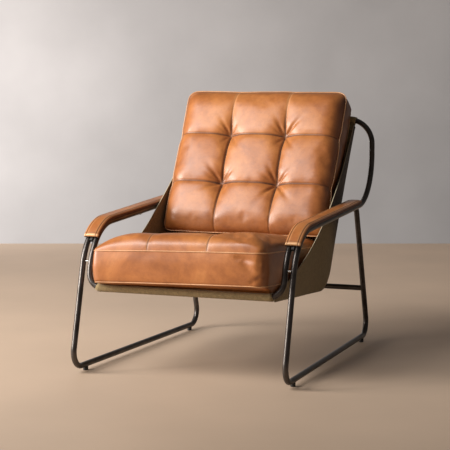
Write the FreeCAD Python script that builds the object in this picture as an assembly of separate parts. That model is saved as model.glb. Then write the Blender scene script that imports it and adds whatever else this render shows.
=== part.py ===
"""Lounge armchair: a bent steel tube frame, a canvas sling and loose leather cushions.

+Z is up and the sitter faces -Y. The origin is on the floor under the middle of the chair.
Lengths are in millimetres and angles in degrees. The two sides are mirror images.
"""
import FreeCAD, Part
import math
import os

from FreeCAD import Vector

os.makedirs("parts", exist_ok=True)

# ---- Driving dimensions: frame ----
FRAME_WIDTH = 743.0
FRAME_DEPTH = 988.0
TUBE_DIAMETER = 19.0
TUBE_WALL = 1.5
TUBE_SPACING = 28.2  # centre of the inner tube to centre of the outer tube
RUNNER_LIFT = 10.5  # clear height under the runners
FRONT_LEAN = 14.8  # front legs, off the vertical
REAR_LEAN = 17.9  # rear legs, off the vertical
ARM_HEIGHT = 472.0  # the arm's centre line, at its front corner
ARM_RISE = 2.95  # climb of the arm towards the back
LOOP_INSET = 48.5  # the back loop's centre line, in front of the rearmost point
TOP_RAIL_HEIGHT = 800.0
FRONT_RAIL_HEIGHT = 279.0
STRETCHER_HEIGHT = 193.0
SPACER_HEIGHT = 361.0
FLOOR_BEND = 50.0
ARM_BEND = 165.0
LOOP_BEND = 168.0
TOP_BEND = 85.0
FRONT_RAIL_BEND = 50.0
REAR_LEG_BEND = 50.0

# ---- Driving dimensions: joints, fasteners and glides ----
RAIL_JOINT_INSET = 84.0  # from the inner tube's centre to the end of each rail
SPIGOT_LENGTH = 50.0
SPIGOT_CLEARANCE = 0.3
SET_SCREW_DIAMETER = 5.0
SET_SCREW_LENGTH = 6.0
SET_SCREW_SOCKET = 2.5
SPACER_DIAMETER = 6.5
GLIDE_DIAMETER = 17.0
GLIDE_CHAMFER = 1.2
GLIDE_SADDLE = 3.0  # how far a glide reaches up round its runner
GLIDE_STEM_DIAMETER = 6.0
GLIDE_STEM_LENGTH = 9.0  # above the underside of the runner
GLIDE_INSET_FRONT = 88.5
GLIDE_INSET_REAR = 75.5
THREAD_CLEARANCE = 0.05
HOLE_CLEARANCE = 0.2
PAINT = 0.1  # between a tube and what is welded to it or laid on it

# ---- Driving dimensions: arms ----
ARM_WRAP_ANGLE = 43.0  # how far the pad follows the front bend
ARM_PAD_REAR_INSET = 208.0  # the pad's rear end, in front of the rearmost point
ARM_PAD_WIDTH = 52.0
ARM_PAD_HEIGHT = 10.0
ARM_PAD_CORNER = 4.5
ARM_LIP = 1.2  # how far the leather reaches down past the tops of the tubes
ARM_LEATHER = 1.6
ARM_FLANGE_WIDTH = 44.0
ARM_FLANGE_THICKNESS = 2.5
ARM_WEB_DEPTH = 11.0
ARM_WEB_LEAD_ANGLE = 4.0  # how far round the bend the web shows past the pad
ARM_CLIP_INSETS = (515.0, 262.0)  # from the rearmost point
ARM_CLIP_LENGTH = 14.0
ARM_CLIP_WIDTH = 30.0
ARM_CLIP_THICKNESS = 2.0
ARM_CLIP_CORNER = 3.0
ARM_SCREW_DIAMETER = 5.0
ARM_SCREW_BITE = 12.0  # thread inside the core
ARM_SCREW_HEAD_DIAMETER = 9.0
ARM_SCREW_HEAD_HEIGHT = 2.6
ARM_SCREW_SOCKET = 3.0
FIT_GAP = 0.3

# ---- Driving dimensions: sling ----
CANVAS = 2.5
HEM_INSET = 69.5  # the hems' ends, in from the frame's outer side
HEM_CLEARANCE = 0.4
PANEL_INSET = 71.5
PANEL_WAIST = 10.0  # how far the loaded canvas draws in at each side, at its deepest
SEAT_PANEL_SLOPE = 3.84  # fall of the seat panel towards the back
BACK_RECLINE = 27.5  # back panel, off the vertical
CROTCH_BEND = 124.0
EDGE_SAG = 80.0  # vertical sag of the wings' free edge
EDGE_BULGE = 17.0  # how far the cushions push the free edge out
EDGE_SETBACK = 17.0  # the wings' front ends, behind the front rail's centre line
EDGE_RISE = 6.0  # and above it
EDGE_DROP = 26.0  # the wings' top ends, down the back from the top rail's centre line
EDGE_STAND_OFF = 8.0  # and in front of the back panel
EDGE_STATIONS = 14

# ---- Driving dimensions: cushions ----
CUSHION_GAP = 0.5
COVER = 1.8
FOAM_GAP = 0.3
SEAT_INSET = 75.5  # the cushion's sides, in from the frame's outer side
SEAT_REAR_INSET = 87.5
SEAT_FRONT_INSET = 3.5  # the seat's front, behind the foremost point of the frame
SEAT_WELT_LOW = 313.0
SEAT_WELT_HIGH = 417.0
SEAT_HEM_LIFT = 2.0  # clears the hem where it starts to climb the rail's bends
SEAT_FACE_LEAN = 3.5  # how far the upper welt stands behind the lower one
SEAT_BROW_SETBACK = 40.0
SEAT_BROW_HEIGHT = 478.0
SEAT_BROW_BEND = 65.0
SEAT_TOP_SLOPE = 7.5
SEAT_SHOULDER_HEIGHT = 428.0
SEAT_SHOULDER_INSET = 141.0
SEAT_SHOULDER_BEND = 150.0
SEAT_SIDE_SLOPE = 5.5
SEAT_CORNER = 26.0
BACK_INSET = 69.5
BACK_REAR_INSET = 87.5
BACK_EDGE_SEAM = 134.0  # the edge seam at the sides, in front of the back panel
BACK_TOP_SEAM = 120.0  # the same along the top
BACK_FOOT_SEAM = 128.0  # and along the foot
BACK_SEAM_DEPTH = 162.0  # the seams between the pillows, in front of the back panel
BACK_SEAM_X = 102.0  # the two upright seams, from the chair's middle
BACK_SEAM_DROPS = (142.0, 327.0)  # the two level seams, down the back from the top rail
PILLOW_RISE = 18.0  # how far a pillow between two seams stands out past them
EDGE_PILLOW_RISE = 29.0  # and one between a seam and the cushion's edge
BACK_ABOVE_RAIL = 47.0  # how far the cushion reaches past the top rail, along the back
BACK_CORNER = 42.0
BACK_CORNER_OVERLAP = 1.0  # the corners' rounding is drawn this much wider than the cushion

# ---- Derived places ----
SIDES = ("left", "right")  # the sitter's own: +X is on the left
X_AXIS = Vector(1, 0, 0)
Z_AXIS = Vector(0, 0, 1)
TUBE_RADIUS = TUBE_DIAMETER / 2
BORE_RADIUS = TUBE_RADIUS - TUBE_WALL
RUNNER_HEIGHT = RUNNER_LIFT + TUBE_RADIUS
HALF_WIDTH = FRAME_WIDTH / 2
OUTER_X = HALF_WIDTH - TUBE_RADIUS
INNER_X = OUTER_X - TUBE_SPACING
ARM_X = (OUTER_X + INNER_X) / 2
RAIL_END_X = INNER_X - RAIL_JOINT_INSET
LOOP_Y = FRAME_DEPTH / 2 - LOOP_INSET
HEM_HALF_WIDTH = HALF_WIDTH - HEM_INSET
PANEL_HALF_WIDTH = HALF_WIDTH - PANEL_INSET
SEAT_HALF_WIDTH = HALF_WIDTH - SEAT_INSET
SEAT_REAR_HALF_WIDTH = HALF_WIDTH - SEAT_REAR_INSET
BACK_HALF_WIDTH = HALF_WIDTH - BACK_INSET
BACK_REAR_HALF_WIDTH = HALF_WIDTH - BACK_REAR_INSET


def slope(angle):
    """Rise of a line per unit of run."""
    return math.tan(math.radians(angle))


def floor_corner_overhang(lean):
    """How far the sharp corner of runner and leg stands out past the floor bend itself."""
    return FLOOR_BEND * (slope((90 + lean) / 2) - 1) - TUBE_RADIUS


FRONT_CORNER_Y = -FRAME_DEPTH / 2 - floor_corner_overhang(FRONT_LEAN)
REAR_CORNER_Y = FRAME_DEPTH / 2 + floor_corner_overhang(REAR_LEAN)


def front_leg_y(height):
    return FRONT_CORNER_Y + (height - RUNNER_HEIGHT) * slope(FRONT_LEAN)


def rear_leg_y(height):
    return REAR_CORNER_Y - (height - RUNNER_HEIGHT) * slope(REAR_LEAN)


ARM_CORNER_Y = front_leg_y(ARM_HEIGHT)
FRONT_RAIL_Y = front_leg_y(FRONT_RAIL_HEIGHT)


def arm_height(y):
    return ARM_HEIGHT + (y - ARM_CORNER_Y) * slope(ARM_RISE)


BOTH_SLOPES = slope(ARM_RISE) * slope(REAR_LEAN)
REAR_LEG_TOP_Y = (rear_leg_y(ARM_HEIGHT) + ARM_CORNER_Y * BOTH_SLOPES) / (1 + BOTH_SLOPES)

front_corner = Vector(OUTER_X, FRONT_CORNER_Y, RUNNER_HEIGHT)
rear_corner = Vector(INNER_X, REAR_CORNER_Y, RUNNER_HEIGHT)
arm_corner = Vector(OUTER_X, ARM_CORNER_Y, ARM_HEIGHT)
loop_corner = Vector(OUTER_X, LOOP_Y, arm_height(LOOP_Y))
top_corner = Vector(OUTER_X, LOOP_Y, TOP_RAIL_HEIGHT)
front_rail_corner = Vector(INNER_X, FRONT_RAIL_Y, FRONT_RAIL_HEIGHT)
inner_arm_corner = Vector(INNER_X, ARM_CORNER_Y, ARM_HEIGHT)
rear_leg_top = Vector(INNER_X, REAR_LEG_TOP_Y, arm_height(REAR_LEG_TOP_Y))
runner_middle = (front_corner + rear_corner) * 0.5
runner_line = (rear_corner - front_corner).normalize()


# ---- Helpers for shapes ----
def corner_arc(before, corner, after, radius):
    """The tangent arc that rounds a corner: start, middle, end, centre, axis and turn."""
    arriving = (corner - before).normalize()
    leaving = (after - corner).normalize()
    turn = arriving.getAngle(leaving)
    reach = radius * math.tan(turn / 2)
    inwards = (leaving - arriving).normalize()
    centre = corner + inwards * (radius / math.cos(turn / 2))
    middle = centre - inwards * radius
    axis = arriving.cross(leaving)
    return corner - arriving * reach, middle, corner + leaving * reach, centre, axis, math.degrees(turn)


def joined(pieces):
    """One solid from pieces that touch or overlap."""
    return pieces[0].multiFuse(pieces[1:]).removeSplitter().Solids[0]


def cylinder(start, end, radius):
    run = end - start
    return Part.makeCylinder(radius, run.Length, start, run)


def round_section(place, direction, radius, bore):
    """A disc across a tube's line, or a ring where it has a bore."""
    circles = [Part.Wire(Part.makeCircle(size, place, direction)) for size in (radius, bore) if size]
    return Part.makeFace(circles, "Part::FaceMakerBullseye")


def rod(corners, bends, radius, bore=0.0):
    """A round bar or tube through the corners, with each inner corner rounded by its bend."""
    pieces = []
    here = corners[0]
    for index, bend in enumerate(bends, start=1):
        start, _, end, centre, axis, turn = corner_arc(*corners[index - 1:index + 2], bend)
        section = round_section(start, start - here, radius, bore)
        pieces += [section.extrude(here - start), section.revolve(centre, axis, turn)]
        here = end
    last = corners[-1]
    pieces.append(round_section(last, last - here, radius, bore).extrude(here - last))
    return joined(pieces)


def outline(corners, radii):
    """A closed flat wire through the corners, each rounded by its radius (0 keeps it sharp)."""
    edges = []
    runs = []
    for index, (corner, radius) in enumerate(zip(corners, radii)):
        after = corners[(index + 1) % len(corners)]
        if radius:
            start, middle, end = corner_arc(corners[index - 1], corner, after, radius)[:3]
            edges.append(Part.Arc(start, middle, end).toShape())
            runs.append((start, end))
        else:
            runs.append((corner, corner))
    for index, (_, end) in enumerate(runs):
        start = runs[(index + 1) % len(runs)][0]
        edges.append(Part.LineSegment(end, start).toShape())
    return Part.Wire(Part.__sortEdges__(edges))


def prism(wire, run, inset=0.0):
    """A wire made smaller by the inset all round and extruded along the run."""
    shrunk = wire.makeOffset2D(-inset) if inset else wire
    return Part.Face(shrunk).extrude(run)


def side_outline(points, radii, x):
    """The outline of a side view, given as (y, z) corners."""
    return outline([Vector(x, y, z) for y, z in points], radii)


def sided(shape, side):
    """Everything is drawn on the sitter's left and mirrored for the right."""
    return shape if side == "left" else shape.mirror(Vector(0, 0, 0), X_AXIS)


def save(node, *solids):
    shape = solids[0] if len(solids) == 1 else Part.makeCompound(list(solids))
    shape.exportStep(f"parts/{node}.step")


# ---- Frame: two bent tubes on each side, which also make the ends of the rails ----
outer_path = [
    Vector(RAIL_END_X, LOOP_Y, TOP_RAIL_HEIGHT),
    top_corner,
    loop_corner,
    arm_corner,
    front_corner,
    runner_middle,
], [TOP_BEND, LOOP_BEND, ARM_BEND, FLOOR_BEND]
inner_path = [
    Vector(RAIL_END_X, FRONT_RAIL_Y, FRONT_RAIL_HEIGHT),
    front_rail_corner,
    inner_arm_corner,
    rear_leg_top,
    rear_corner,
    runner_middle,
], [FRONT_RAIL_BEND, ARM_BEND, REAR_LEG_BEND, FLOOR_BEND]
outer_tube = rod(*outer_path, TUBE_RADIUS, BORE_RADIUS)
inner_tube = rod(*inner_path, TUBE_RADIUS, BORE_RADIUS)
outer_seat = rod(*outer_path, TUBE_RADIUS + PAINT)  # what is welded or laid on the outer tube
inner_seat = rod(*inner_path, TUBE_RADIUS + PAINT)


def glide_place(y):
    """Point on the runner's centre line above a glide."""
    share = (y - FRONT_CORNER_Y) / (REAR_CORNER_Y - FRONT_CORNER_Y)
    return front_corner + (rear_corner - front_corner) * share


def glide(place):
    """A foot with a saddle that fits the runner and a stem that pushes into it."""
    floor = Vector(place.x, place.y, 0)
    body = cylinder(floor, floor + Z_AXIS * (RUNNER_LIFT + GLIDE_SADDLE), GLIDE_DIAMETER / 2)
    rim = [edge for edge in body.Edges if edge.BoundBox.ZMax < GLIDE_CHAMFER]
    body = body.makeChamfer(GLIDE_CHAMFER, rim)
    body = body.cut(cylinder(place - runner_line * GLIDE_DIAMETER, place + runner_line * GLIDE_DIAMETER,
                             TUBE_RADIUS + PAINT))
    stem_foot = floor + Z_AXIS * (RUNNER_LIFT - GLIDE_SADDLE)
    stem_top = floor + Z_AXIS * (RUNNER_LIFT + GLIDE_STEM_LENGTH)
    return joined([body, cylinder(stem_foot, stem_top, GLIDE_STEM_DIAMETER / 2)])


def stem_hole(place):
    return cylinder(place - Z_AXIS * TUBE_DIAMETER, place, GLIDE_STEM_DIAMETER / 2 + HOLE_CLEARANCE)


front_glide_place = glide_place(GLIDE_INSET_FRONT - FRAME_DEPTH / 2)
rear_glide_place = glide_place(FRAME_DEPTH / 2 - GLIDE_INSET_REAR)
outer_tube = outer_tube.cut(stem_hole(front_glide_place))
inner_tube = inner_tube.cut(stem_hole(rear_glide_place))
sleeve_reach = runner_line * (SPIGOT_LENGTH / 2)
runner_sleeve = cylinder(runner_middle - sleeve_reach, runner_middle + sleeve_reach,
                         BORE_RADIUS - SPIGOT_CLEARANCE)
spacer_place = Vector(INNER_X, front_leg_y(SPACER_HEIGHT), SPACER_HEIGHT)
spacer_pin = cylinder(spacer_place, spacer_place + X_AXIS * TUBE_SPACING, SPACER_DIAMETER / 2)
spacer_pin = spacer_pin.cut(outer_seat).cut(inner_seat)

for side in SIDES:
    save(f"outer_tube_{side}", sided(outer_tube, side))
    save(f"inner_tube_{side}", sided(inner_tube, side))
    save(f"runner_sleeve_{side}", sided(runner_sleeve, side))
    save(f"spacer_pin_{side}", sided(spacer_pin, side))
    save(f"glide_front_{side}", sided(glide(front_glide_place), side))
    save(f"glide_rear_{side}", sided(glide(rear_glide_place), side))

stretcher_reach = Vector(INNER_X, 0, 0)
stretcher_middle = Vector(0, rear_leg_y(STRETCHER_HEIGHT), STRETCHER_HEIGHT)
stretcher_ends = stretcher_middle - stretcher_reach, stretcher_middle + stretcher_reach
stretcher = cylinder(*stretcher_ends, TUBE_RADIUS).cut(cylinder(*stretcher_ends, BORE_RADIUS))
save("rear_stretcher", stretcher.cut(inner_seat).cut(sided(inner_seat, "right")).Solids[0])


# ---- Rails: a middle tube inside each hem, joined to the bent tubes by spigots ----
def set_screw_hole(place):
    return cylinder(place - Z_AXIS * TUBE_DIAMETER, place + Z_AXIS * (SET_SCREW_LENGTH - TUBE_RADIUS),
                    SET_SCREW_DIAMETER / 2 + THREAD_CLEARANCE)


def set_screw(place):
    head = place - Z_AXIS * TUBE_RADIUS
    screw = cylinder(head, head + Z_AXIS * SET_SCREW_LENGTH, SET_SCREW_DIAMETER / 2)
    return screw.cut(cylinder(head, head + Z_AXIS * SET_SCREW_SOCKET, SET_SCREW_SOCKET / 2))


set_screws = []
for rail_name, y, height in (
    ("front", FRONT_RAIL_Y, FRONT_RAIL_HEIGHT),
    ("top", LOOP_Y, TOP_RAIL_HEIGHT),
):
    joint = Vector(RAIL_END_X, y, height)
    far_joint = Vector(-RAIL_END_X, y, height)
    screw_place = joint - X_AXIS * (SPIGOT_LENGTH / 4)
    reach = X_AXIS * (SPIGOT_LENGTH / 2)
    rail = cylinder(far_joint, joint, TUBE_RADIUS).cut(cylinder(far_joint, joint, BORE_RADIUS))
    spigot = cylinder(joint - reach, joint + reach, BORE_RADIUS - SPIGOT_CLEARANCE)
    spigot = spigot.cut(set_screw_hole(screw_place))
    for side in SIDES:
        rail = rail.cut(sided(set_screw_hole(screw_place), side))
        set_screws.append(sided(set_screw(screw_place), side))
        save(f"{rail_name}_rail_spigot_{side}", sided(spigot, side))
    save(f"{rail_name}_rail", rail.Solids[0])
save("rail_set_screws", *set_screws)


# ---- Arms: a black T-shaped core on the two tubes, foam on it and a leather cap round both ----
arm_start, _, _, arm_centre = corner_arc(loop_corner, arm_corner, front_corner, ARM_BEND)[:4]
arm_line = (loop_corner - arm_corner).normalize()
arm_up = X_AXIS.cross(arm_line)
pad_end_y = FRAME_DEPTH / 2 - ARM_PAD_REAR_INSET
PAD_STRAIGHT = (pad_end_y - arm_start.y) / arm_line.y


def on_arm(along, across, above):
    """A place on the straight arm: from the end of its front bend, the middle of the two tubes."""
    origin = Vector(ARM_X, arm_start.y, arm_start.z)
    return origin + arm_line * along + X_AXIS * across + arm_up * above


def along_arm(half_width, low, high, corner=0.0, trim=0.0, lead=0.0):
    """A bar over both tubes, round the front bend and back along the arm."""
    places = [on_arm(0, across, above) for across, above in
              ((-half_width, low), (half_width, low), (half_width, high), (-half_width, high))]
    section = Part.Face(outline(places, (0, 0, corner, corner)))
    wrap = ARM_WRAP_ANGLE + lead - math.degrees(trim / ARM_BEND)
    bend = section.revolve(Vector(ARM_X, arm_centre.y, arm_centre.z), X_AXIS, wrap)
    return joined([bend, section.extrude(arm_line * (PAD_STRAIGHT - trim))])


PAD_TOP = TUBE_RADIUS + ARM_PAD_HEIGHT
FLANGE_LOW = TUBE_RADIUS + PAINT
FLANGE_TOP = FLANGE_LOW + ARM_FLANGE_THICKNESS
PAD_INSIDE = ARM_PAD_WIDTH / 2 - ARM_LEATHER
WEB_HALF_WIDTH = (TUBE_SPACING - TUBE_DIAMETER) / 2 - FIT_GAP
WEB_LOW = TUBE_RADIUS - ARM_WEB_DEPTH
END_TRIM = ARM_LEATHER + FIT_GAP
flange = along_arm(ARM_FLANGE_WIDTH / 2, FLANGE_LOW, FLANGE_TOP, trim=END_TRIM)
web = along_arm(WEB_HALF_WIDTH, WEB_LOW, FLANGE_TOP - PAINT, trim=END_TRIM)
web_tip = along_arm(WEB_HALF_WIDTH, WEB_LOW, TUBE_RADIUS - FIT_GAP, trim=END_TRIM, lead=ARM_WEB_LEAD_ANGLE)
core = joined([flange, web, web_tip])
foam = along_arm(PAD_INSIDE - FIT_GAP, FLANGE_TOP + FIT_GAP, PAD_TOP - END_TRIM,
                 corner=ARM_PAD_CORNER - ARM_LEATHER, trim=END_TRIM)
cap = along_arm(ARM_PAD_WIDTH / 2, TUBE_RADIUS - ARM_LIP, PAD_TOP, corner=ARM_PAD_CORNER)
cap = cap.cut(along_arm(PAD_INSIDE, -ARM_LIP, PAD_TOP - ARM_LEATHER,
                        corner=ARM_PAD_CORNER - ARM_LEATHER, trim=ARM_LEATHER))
cap = cap.cut(along_arm(PAD_INSIDE, -ARM_LIP, TUBE_RADIUS + FIT_GAP,
                        trim=-ARM_LEATHER, lead=ARM_WEB_LEAD_ANGLE))

clips = []
screws = []
for inset in ARM_CLIP_INSETS:
    along = (FRAME_DEPTH / 2 - inset - arm_start.y) / arm_line.y
    clip_top = -TUBE_RADIUS - PAINT
    clip_low = clip_top - ARM_CLIP_THICKNESS
    corners = [on_arm(along + end * ARM_CLIP_LENGTH / 2, across * ARM_CLIP_WIDTH / 2, clip_low)
               for end, across in ((-1, -1), (1, -1), (1, 1), (-1, 1))]
    plate = prism(outline(corners, [ARM_CLIP_CORNER] * 4), arm_up * ARM_CLIP_THICKNESS)
    screw_foot = on_arm(along, 0, clip_low)
    screw_top = on_arm(along, 0, WEB_LOW + ARM_SCREW_BITE)
    shaft = cylinder(screw_foot, screw_top, ARM_SCREW_DIAMETER / 2)
    head = cylinder(screw_foot - arm_up * ARM_SCREW_HEAD_HEIGHT, screw_foot, ARM_SCREW_HEAD_DIAMETER / 2)
    socket = cylinder(screw_foot - arm_up * ARM_SCREW_HEAD_HEIGHT, screw_foot, ARM_SCREW_SOCKET / 2)
    hole = cylinder(screw_foot, screw_top + arm_up * FIT_GAP, ARM_SCREW_DIAMETER / 2 + HOLE_CLEARANCE)
    clips.append(plate.cut(hole))
    screws.append(joined([shaft, head]).cut(socket))
    core = core.cut(hole)

for side in SIDES:
    save(f"arm_core_{side}", sided(core, side))
    save(f"arm_foam_{side}", sided(foam, side))
    save(f"arm_pad_{side}", sided(cap, side))
save("arm_clips", *[sided(clip, side) for side in SIDES for clip in clips])
save("arm_screws", *[sided(screw, side) for side in SIDES for screw in screws])

# ---- Sling: one run of canvas from the front rail, under the seat and up to the top rail ----
HEM_BORE = TUBE_RADIUS + HEM_CLEARANCE
HEM_RADIUS = HEM_BORE + CANVAS
CROTCH_TURN = math.radians(90 - BACK_RECLINE + SEAT_PANEL_SLOPE)


def side_direction(climb):
    """A direction in the side view, from its climb in radians."""
    return Vector(0, math.cos(climb), math.sin(climb))


seat_back = side_direction(-math.radians(SEAT_PANEL_SLOPE))
seat_up = X_AXIS.cross(seat_back)
back_up = side_direction(math.radians(90 - BACK_RECLINE))
back_forward = X_AXIS.cross(back_up)
front_rail_middle = Vector(0, FRONT_RAIL_Y, FRONT_RAIL_HEIGHT)
top_rail_middle = Vector(0, LOOP_Y, TOP_RAIL_HEIGHT)


def crossing(point, direction, other, other_direction):
    """Where two lines of the side view meet."""
    gap = other - point
    turn = direction.y * other_direction.z - direction.z * other_direction.y
    return point + direction * ((gap.y * other_direction.z - gap.z * other_direction.y) / turn)


def canvas_corners(offset):
    """Front end, sharp crotch corner and top end of the canvas, moved inwards by the offset."""
    front = front_rail_middle - seat_up * (HEM_RADIUS - offset)
    top = top_rail_middle + back_forward * offset
    return front, crossing(front, seat_back, top, back_up), top


canvas_front, _, canvas_top = canvas_corners(0)
crotch_start, _, crotch_end, crotch_centre = corner_arc(*canvas_corners(0), CROTCH_BEND)[:4]
SEAT_RUN = (crotch_start - canvas_front).Length
CROTCH_RUN = CROTCH_BEND * CROTCH_TURN
CANVAS_RUN = SEAT_RUN + CROTCH_RUN + (canvas_top - crotch_end).Length


def on_canvas(share, offset):
    """A place at a share of the way along the canvas, moved inwards by the offset."""
    distance = share * CANVAS_RUN
    if distance < SEAT_RUN:
        return canvas_front + seat_back * distance + seat_up * offset
    if distance < SEAT_RUN + CROTCH_RUN:
        climb = (distance - SEAT_RUN) / CROTCH_BEND - math.radians(SEAT_PANEL_SLOPE)
        return crotch_centre - X_AXIS.cross(side_direction(climb)) * (CROTCH_BEND - offset)
    return crotch_end + back_up * (distance - SEAT_RUN - CROTCH_RUN) + back_forward * offset


def swell(share):
    """Nothing at both ends of a run and one in its middle."""
    return 4 * share * (1 - share)


def panel_edge(share):
    """Half the width of the canvas, which draws in under load."""
    return PANEL_HALF_WIDTH - PANEL_WAIST * swell(share)


def loft(sections):
    return Part.makeLoft([Part.makePolygon([*corners, corners[0]]) for corners in sections], True, True)


def waste_section(share):
    """What is cut away beside the canvas."""
    inner, outer = X_AXIS * panel_edge(share), X_AXIS * (PANEL_HALF_WIDTH + PANEL_WAIST)
    low, high = on_canvas(share, -2 * PANEL_WAIST), on_canvas(share, 2 * PANEL_WAIST)
    return [low + inner, low + outer, high + outer, high + inner]


STATIONS = [index / EDGE_STATIONS for index in range(EDGE_STATIONS + 1)]
waste = loft([waste_section(share) for share in STATIONS])


def stretch(offset, runs):
    """Some of the canvas's three runs in the side view: seat, crotch arc and back."""
    front, corner, top = canvas_corners(offset)
    start, middle, end = corner_arc(front, corner, top, CROTCH_BEND - offset)[:3]
    edges = [Part.LineSegment(front, start), Part.Arc(start, middle, end), Part.LineSegment(end, top)]
    return [edge.toShape() for edge in edges[runs]]


def canvas_strip(runs):
    """Runs of canvas at its real thickness, drawn in at both sides."""
    outside, inside = stretch(0, runs), stretch(CANVAS, runs)
    ends = [Part.LineSegment(outside[end].Vertexes[end].Point, inside[end].Vertexes[end].Point).toShape()
            for end in (0, -1)]
    face = Part.Face(Part.Wire(Part.__sortEdges__(outside + inside + ends)))
    face.translate(X_AXIS * -PANEL_HALF_WIDTH)
    strip = face.extrude(X_AXIS * (2 * PANEL_HALF_WIDTH))
    return strip.cut(waste).cut(sided(waste, "right"))


def rail_rod(rail_corner, tube_corner, bend, radius):
    """A bar along a whole rail and round the bends at both of its ends."""
    corners = [rail_corner, tube_corner]
    far_corners = [Vector(-corner.x, corner.y, corner.z) for corner in corners]
    return rod([far_corners[1], far_corners[0], *corners], [bend, bend], radius)


def hemmed(strip, *rail_shape):
    """Canvas with a sleeve at its end, which follows its rail into both bends."""
    width = Part.makeBox(2 * HEM_HALF_WIDTH, 2 * FRAME_DEPTH, FRAME_DEPTH,
                         Vector(-HEM_HALF_WIDTH, -FRAME_DEPTH, 0))
    sleeve = rail_rod(*rail_shape, HEM_RADIUS).common(width)
    return joined([sleeve, strip]).cut(rail_rod(*rail_shape, HEM_BORE)).Solids


front_rail_shape = front_rail_corner, inner_arm_corner, FRONT_RAIL_BEND
top_rail_shape = top_corner, loop_corner, TOP_BEND
save("sling_seat", *hemmed(canvas_strip(slice(0, 2)), *front_rail_shape))
save("sling_back", *hemmed(canvas_strip(slice(2, 3)), *top_rail_shape))

# ---- Wings: the sling's sides, whose free edges hang in a curve from front to top ----
edge_front = front_rail_middle + Vector(0, EDGE_SETBACK, EDGE_RISE)
edge_top = top_rail_middle - back_up * EDGE_DROP + back_forward * EDGE_STAND_OFF
wing_start = EDGE_SETBACK / CANVAS_RUN
wing_end = 1 - EDGE_DROP / CANVAS_RUN


def wing_section(share):
    """A strip across the wing, from below the canvas up to the free edge."""
    foot_share = wing_start + (wing_end - wing_start) * share
    foot = on_canvas(foot_share, -2 * PANEL_WAIST) + X_AXIS * panel_edge(foot_share)
    edge = edge_front + (edge_top - edge_front) * share - Z_AXIS * (EDGE_SAG * swell(share))
    edge += X_AXIS * (PANEL_HALF_WIDTH + EDGE_BULGE * swell(share))
    thickness = X_AXIS * -CANVAS
    return [foot, edge, edge + thickness, foot + thickness]


seam_front, seam_corner, seam_top = canvas_corners(CANVAS + FIT_GAP)
inside_sling = side_outline(
    [(seam_front.y, seam_front.z), (seam_corner.y, seam_corner.z), (seam_top.y, seam_top.z),
     (seam_front.y, seam_top.z)], (0, CROTCH_BEND - CANVAS - FIT_GAP, 0, 0), 0)
wing = loft([wing_section(share) for share in STATIONS]).common(prism(inside_sling, X_AXIS * FRAME_WIDTH))
for side in SIDES:
    save(f"sling_side_{side}", sided(wing.Solids[0], side))

# ---- Seat cushion: rests in the sling with its front edge over the front rail ----
CUSHION_LIFT = CANVAS + CUSHION_GAP
seat_front_y = SEAT_FRONT_INSET - FRAME_DEPTH / 2
seat_brow = Vector(0, seat_front_y + SEAT_BROW_SETBACK, SEAT_BROW_HEIGHT)
seat_top_line = Vector(0, 1, -slope(SEAT_TOP_SLOPE))
lift_front, lift_corner, _ = canvas_corners(CUSHION_LIFT)
hem_top = FRONT_RAIL_HEIGHT + HEM_RADIUS + SEAT_HEM_LIFT
hem_back = FRONT_RAIL_Y + HEM_RADIUS + CUSHION_GAP
seat_tail = crossing(seat_brow, seat_top_line, lift_corner, back_up)
seat_toe = crossing(lift_front, seat_back, Vector(0, hem_back, 0), Z_AXIS)


def seat_block(inset):
    """The cushion's side view, crowned cross-section and plan, all three at once."""
    side_view = side_outline(
        [(seat_front_y, SEAT_WELT_LOW), (seat_front_y + SEAT_FACE_LEAN, SEAT_WELT_HIGH),
         (seat_brow.y, seat_brow.z), (seat_tail.y, seat_tail.z), (lift_corner.y, lift_corner.z),
         (seat_toe.y, seat_toe.z), (hem_back, hem_top), (FRONT_RAIL_Y, hem_top)],
        (0, 0, SEAT_BROW_BEND, 0, CROTCH_BEND - CUSHION_LIFT, 0, 0, 0), -SEAT_HALF_WIDTH)
    shoulder_x = SEAT_HALF_WIDTH - SEAT_SHOULDER_INSET
    cross_view = [Vector(x, seat_front_y, z) for x, z in (
        (-SEAT_HALF_WIDTH, -SEAT_BROW_HEIGHT), (SEAT_HALF_WIDTH, -SEAT_BROW_HEIGHT),
        (SEAT_HALF_WIDTH, SEAT_SHOULDER_HEIGHT), (shoulder_x, SEAT_BROW_HEIGHT + CUSHION_LIFT),
        (-shoulder_x, SEAT_BROW_HEIGHT + CUSHION_LIFT), (-SEAT_HALF_WIDTH, SEAT_SHOULDER_HEIGHT))]
    shoulders = SEAT_CORNER, SEAT_SHOULDER_BEND, SEAT_SHOULDER_BEND, SEAT_CORNER
    cross_outline = outline(cross_view, (0, 0, *shoulders))
    plan = outline([Vector(x, y, 0) for x, y in (
        (-SEAT_HALF_WIDTH, seat_front_y), (SEAT_HALF_WIDTH, seat_front_y),
        (SEAT_REAR_HALF_WIDTH, seat_tail.y), (-SEAT_REAR_HALF_WIDTH, seat_tail.y))],
        (SEAT_CORNER, SEAT_CORNER, 0, 0))
    fall = Vector(0, FRAME_DEPTH, -FRAME_DEPTH * slope(SEAT_SIDE_SLOPE))
    block = prism(side_view, X_AXIS * (2 * SEAT_HALF_WIDTH), inset)
    block = block.common(prism(cross_outline, fall, inset))
    return block.common(prism(plan, Z_AXIS * FRAME_DEPTH, inset)).Solids[0]


save("seat_cushion", seat_block(0).cut(seat_block(COVER)))
save("seat_foam", seat_block(COVER + FOAM_GAP))


# ---- Back cushion: leans on the sling with its foot on the seat cushion ----
def on_back(x, up, forward):
    """A place on the reclined back, from the middle of the top rail."""
    return top_rail_middle + X_AXIS * x + back_up * up + back_forward * forward


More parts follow.
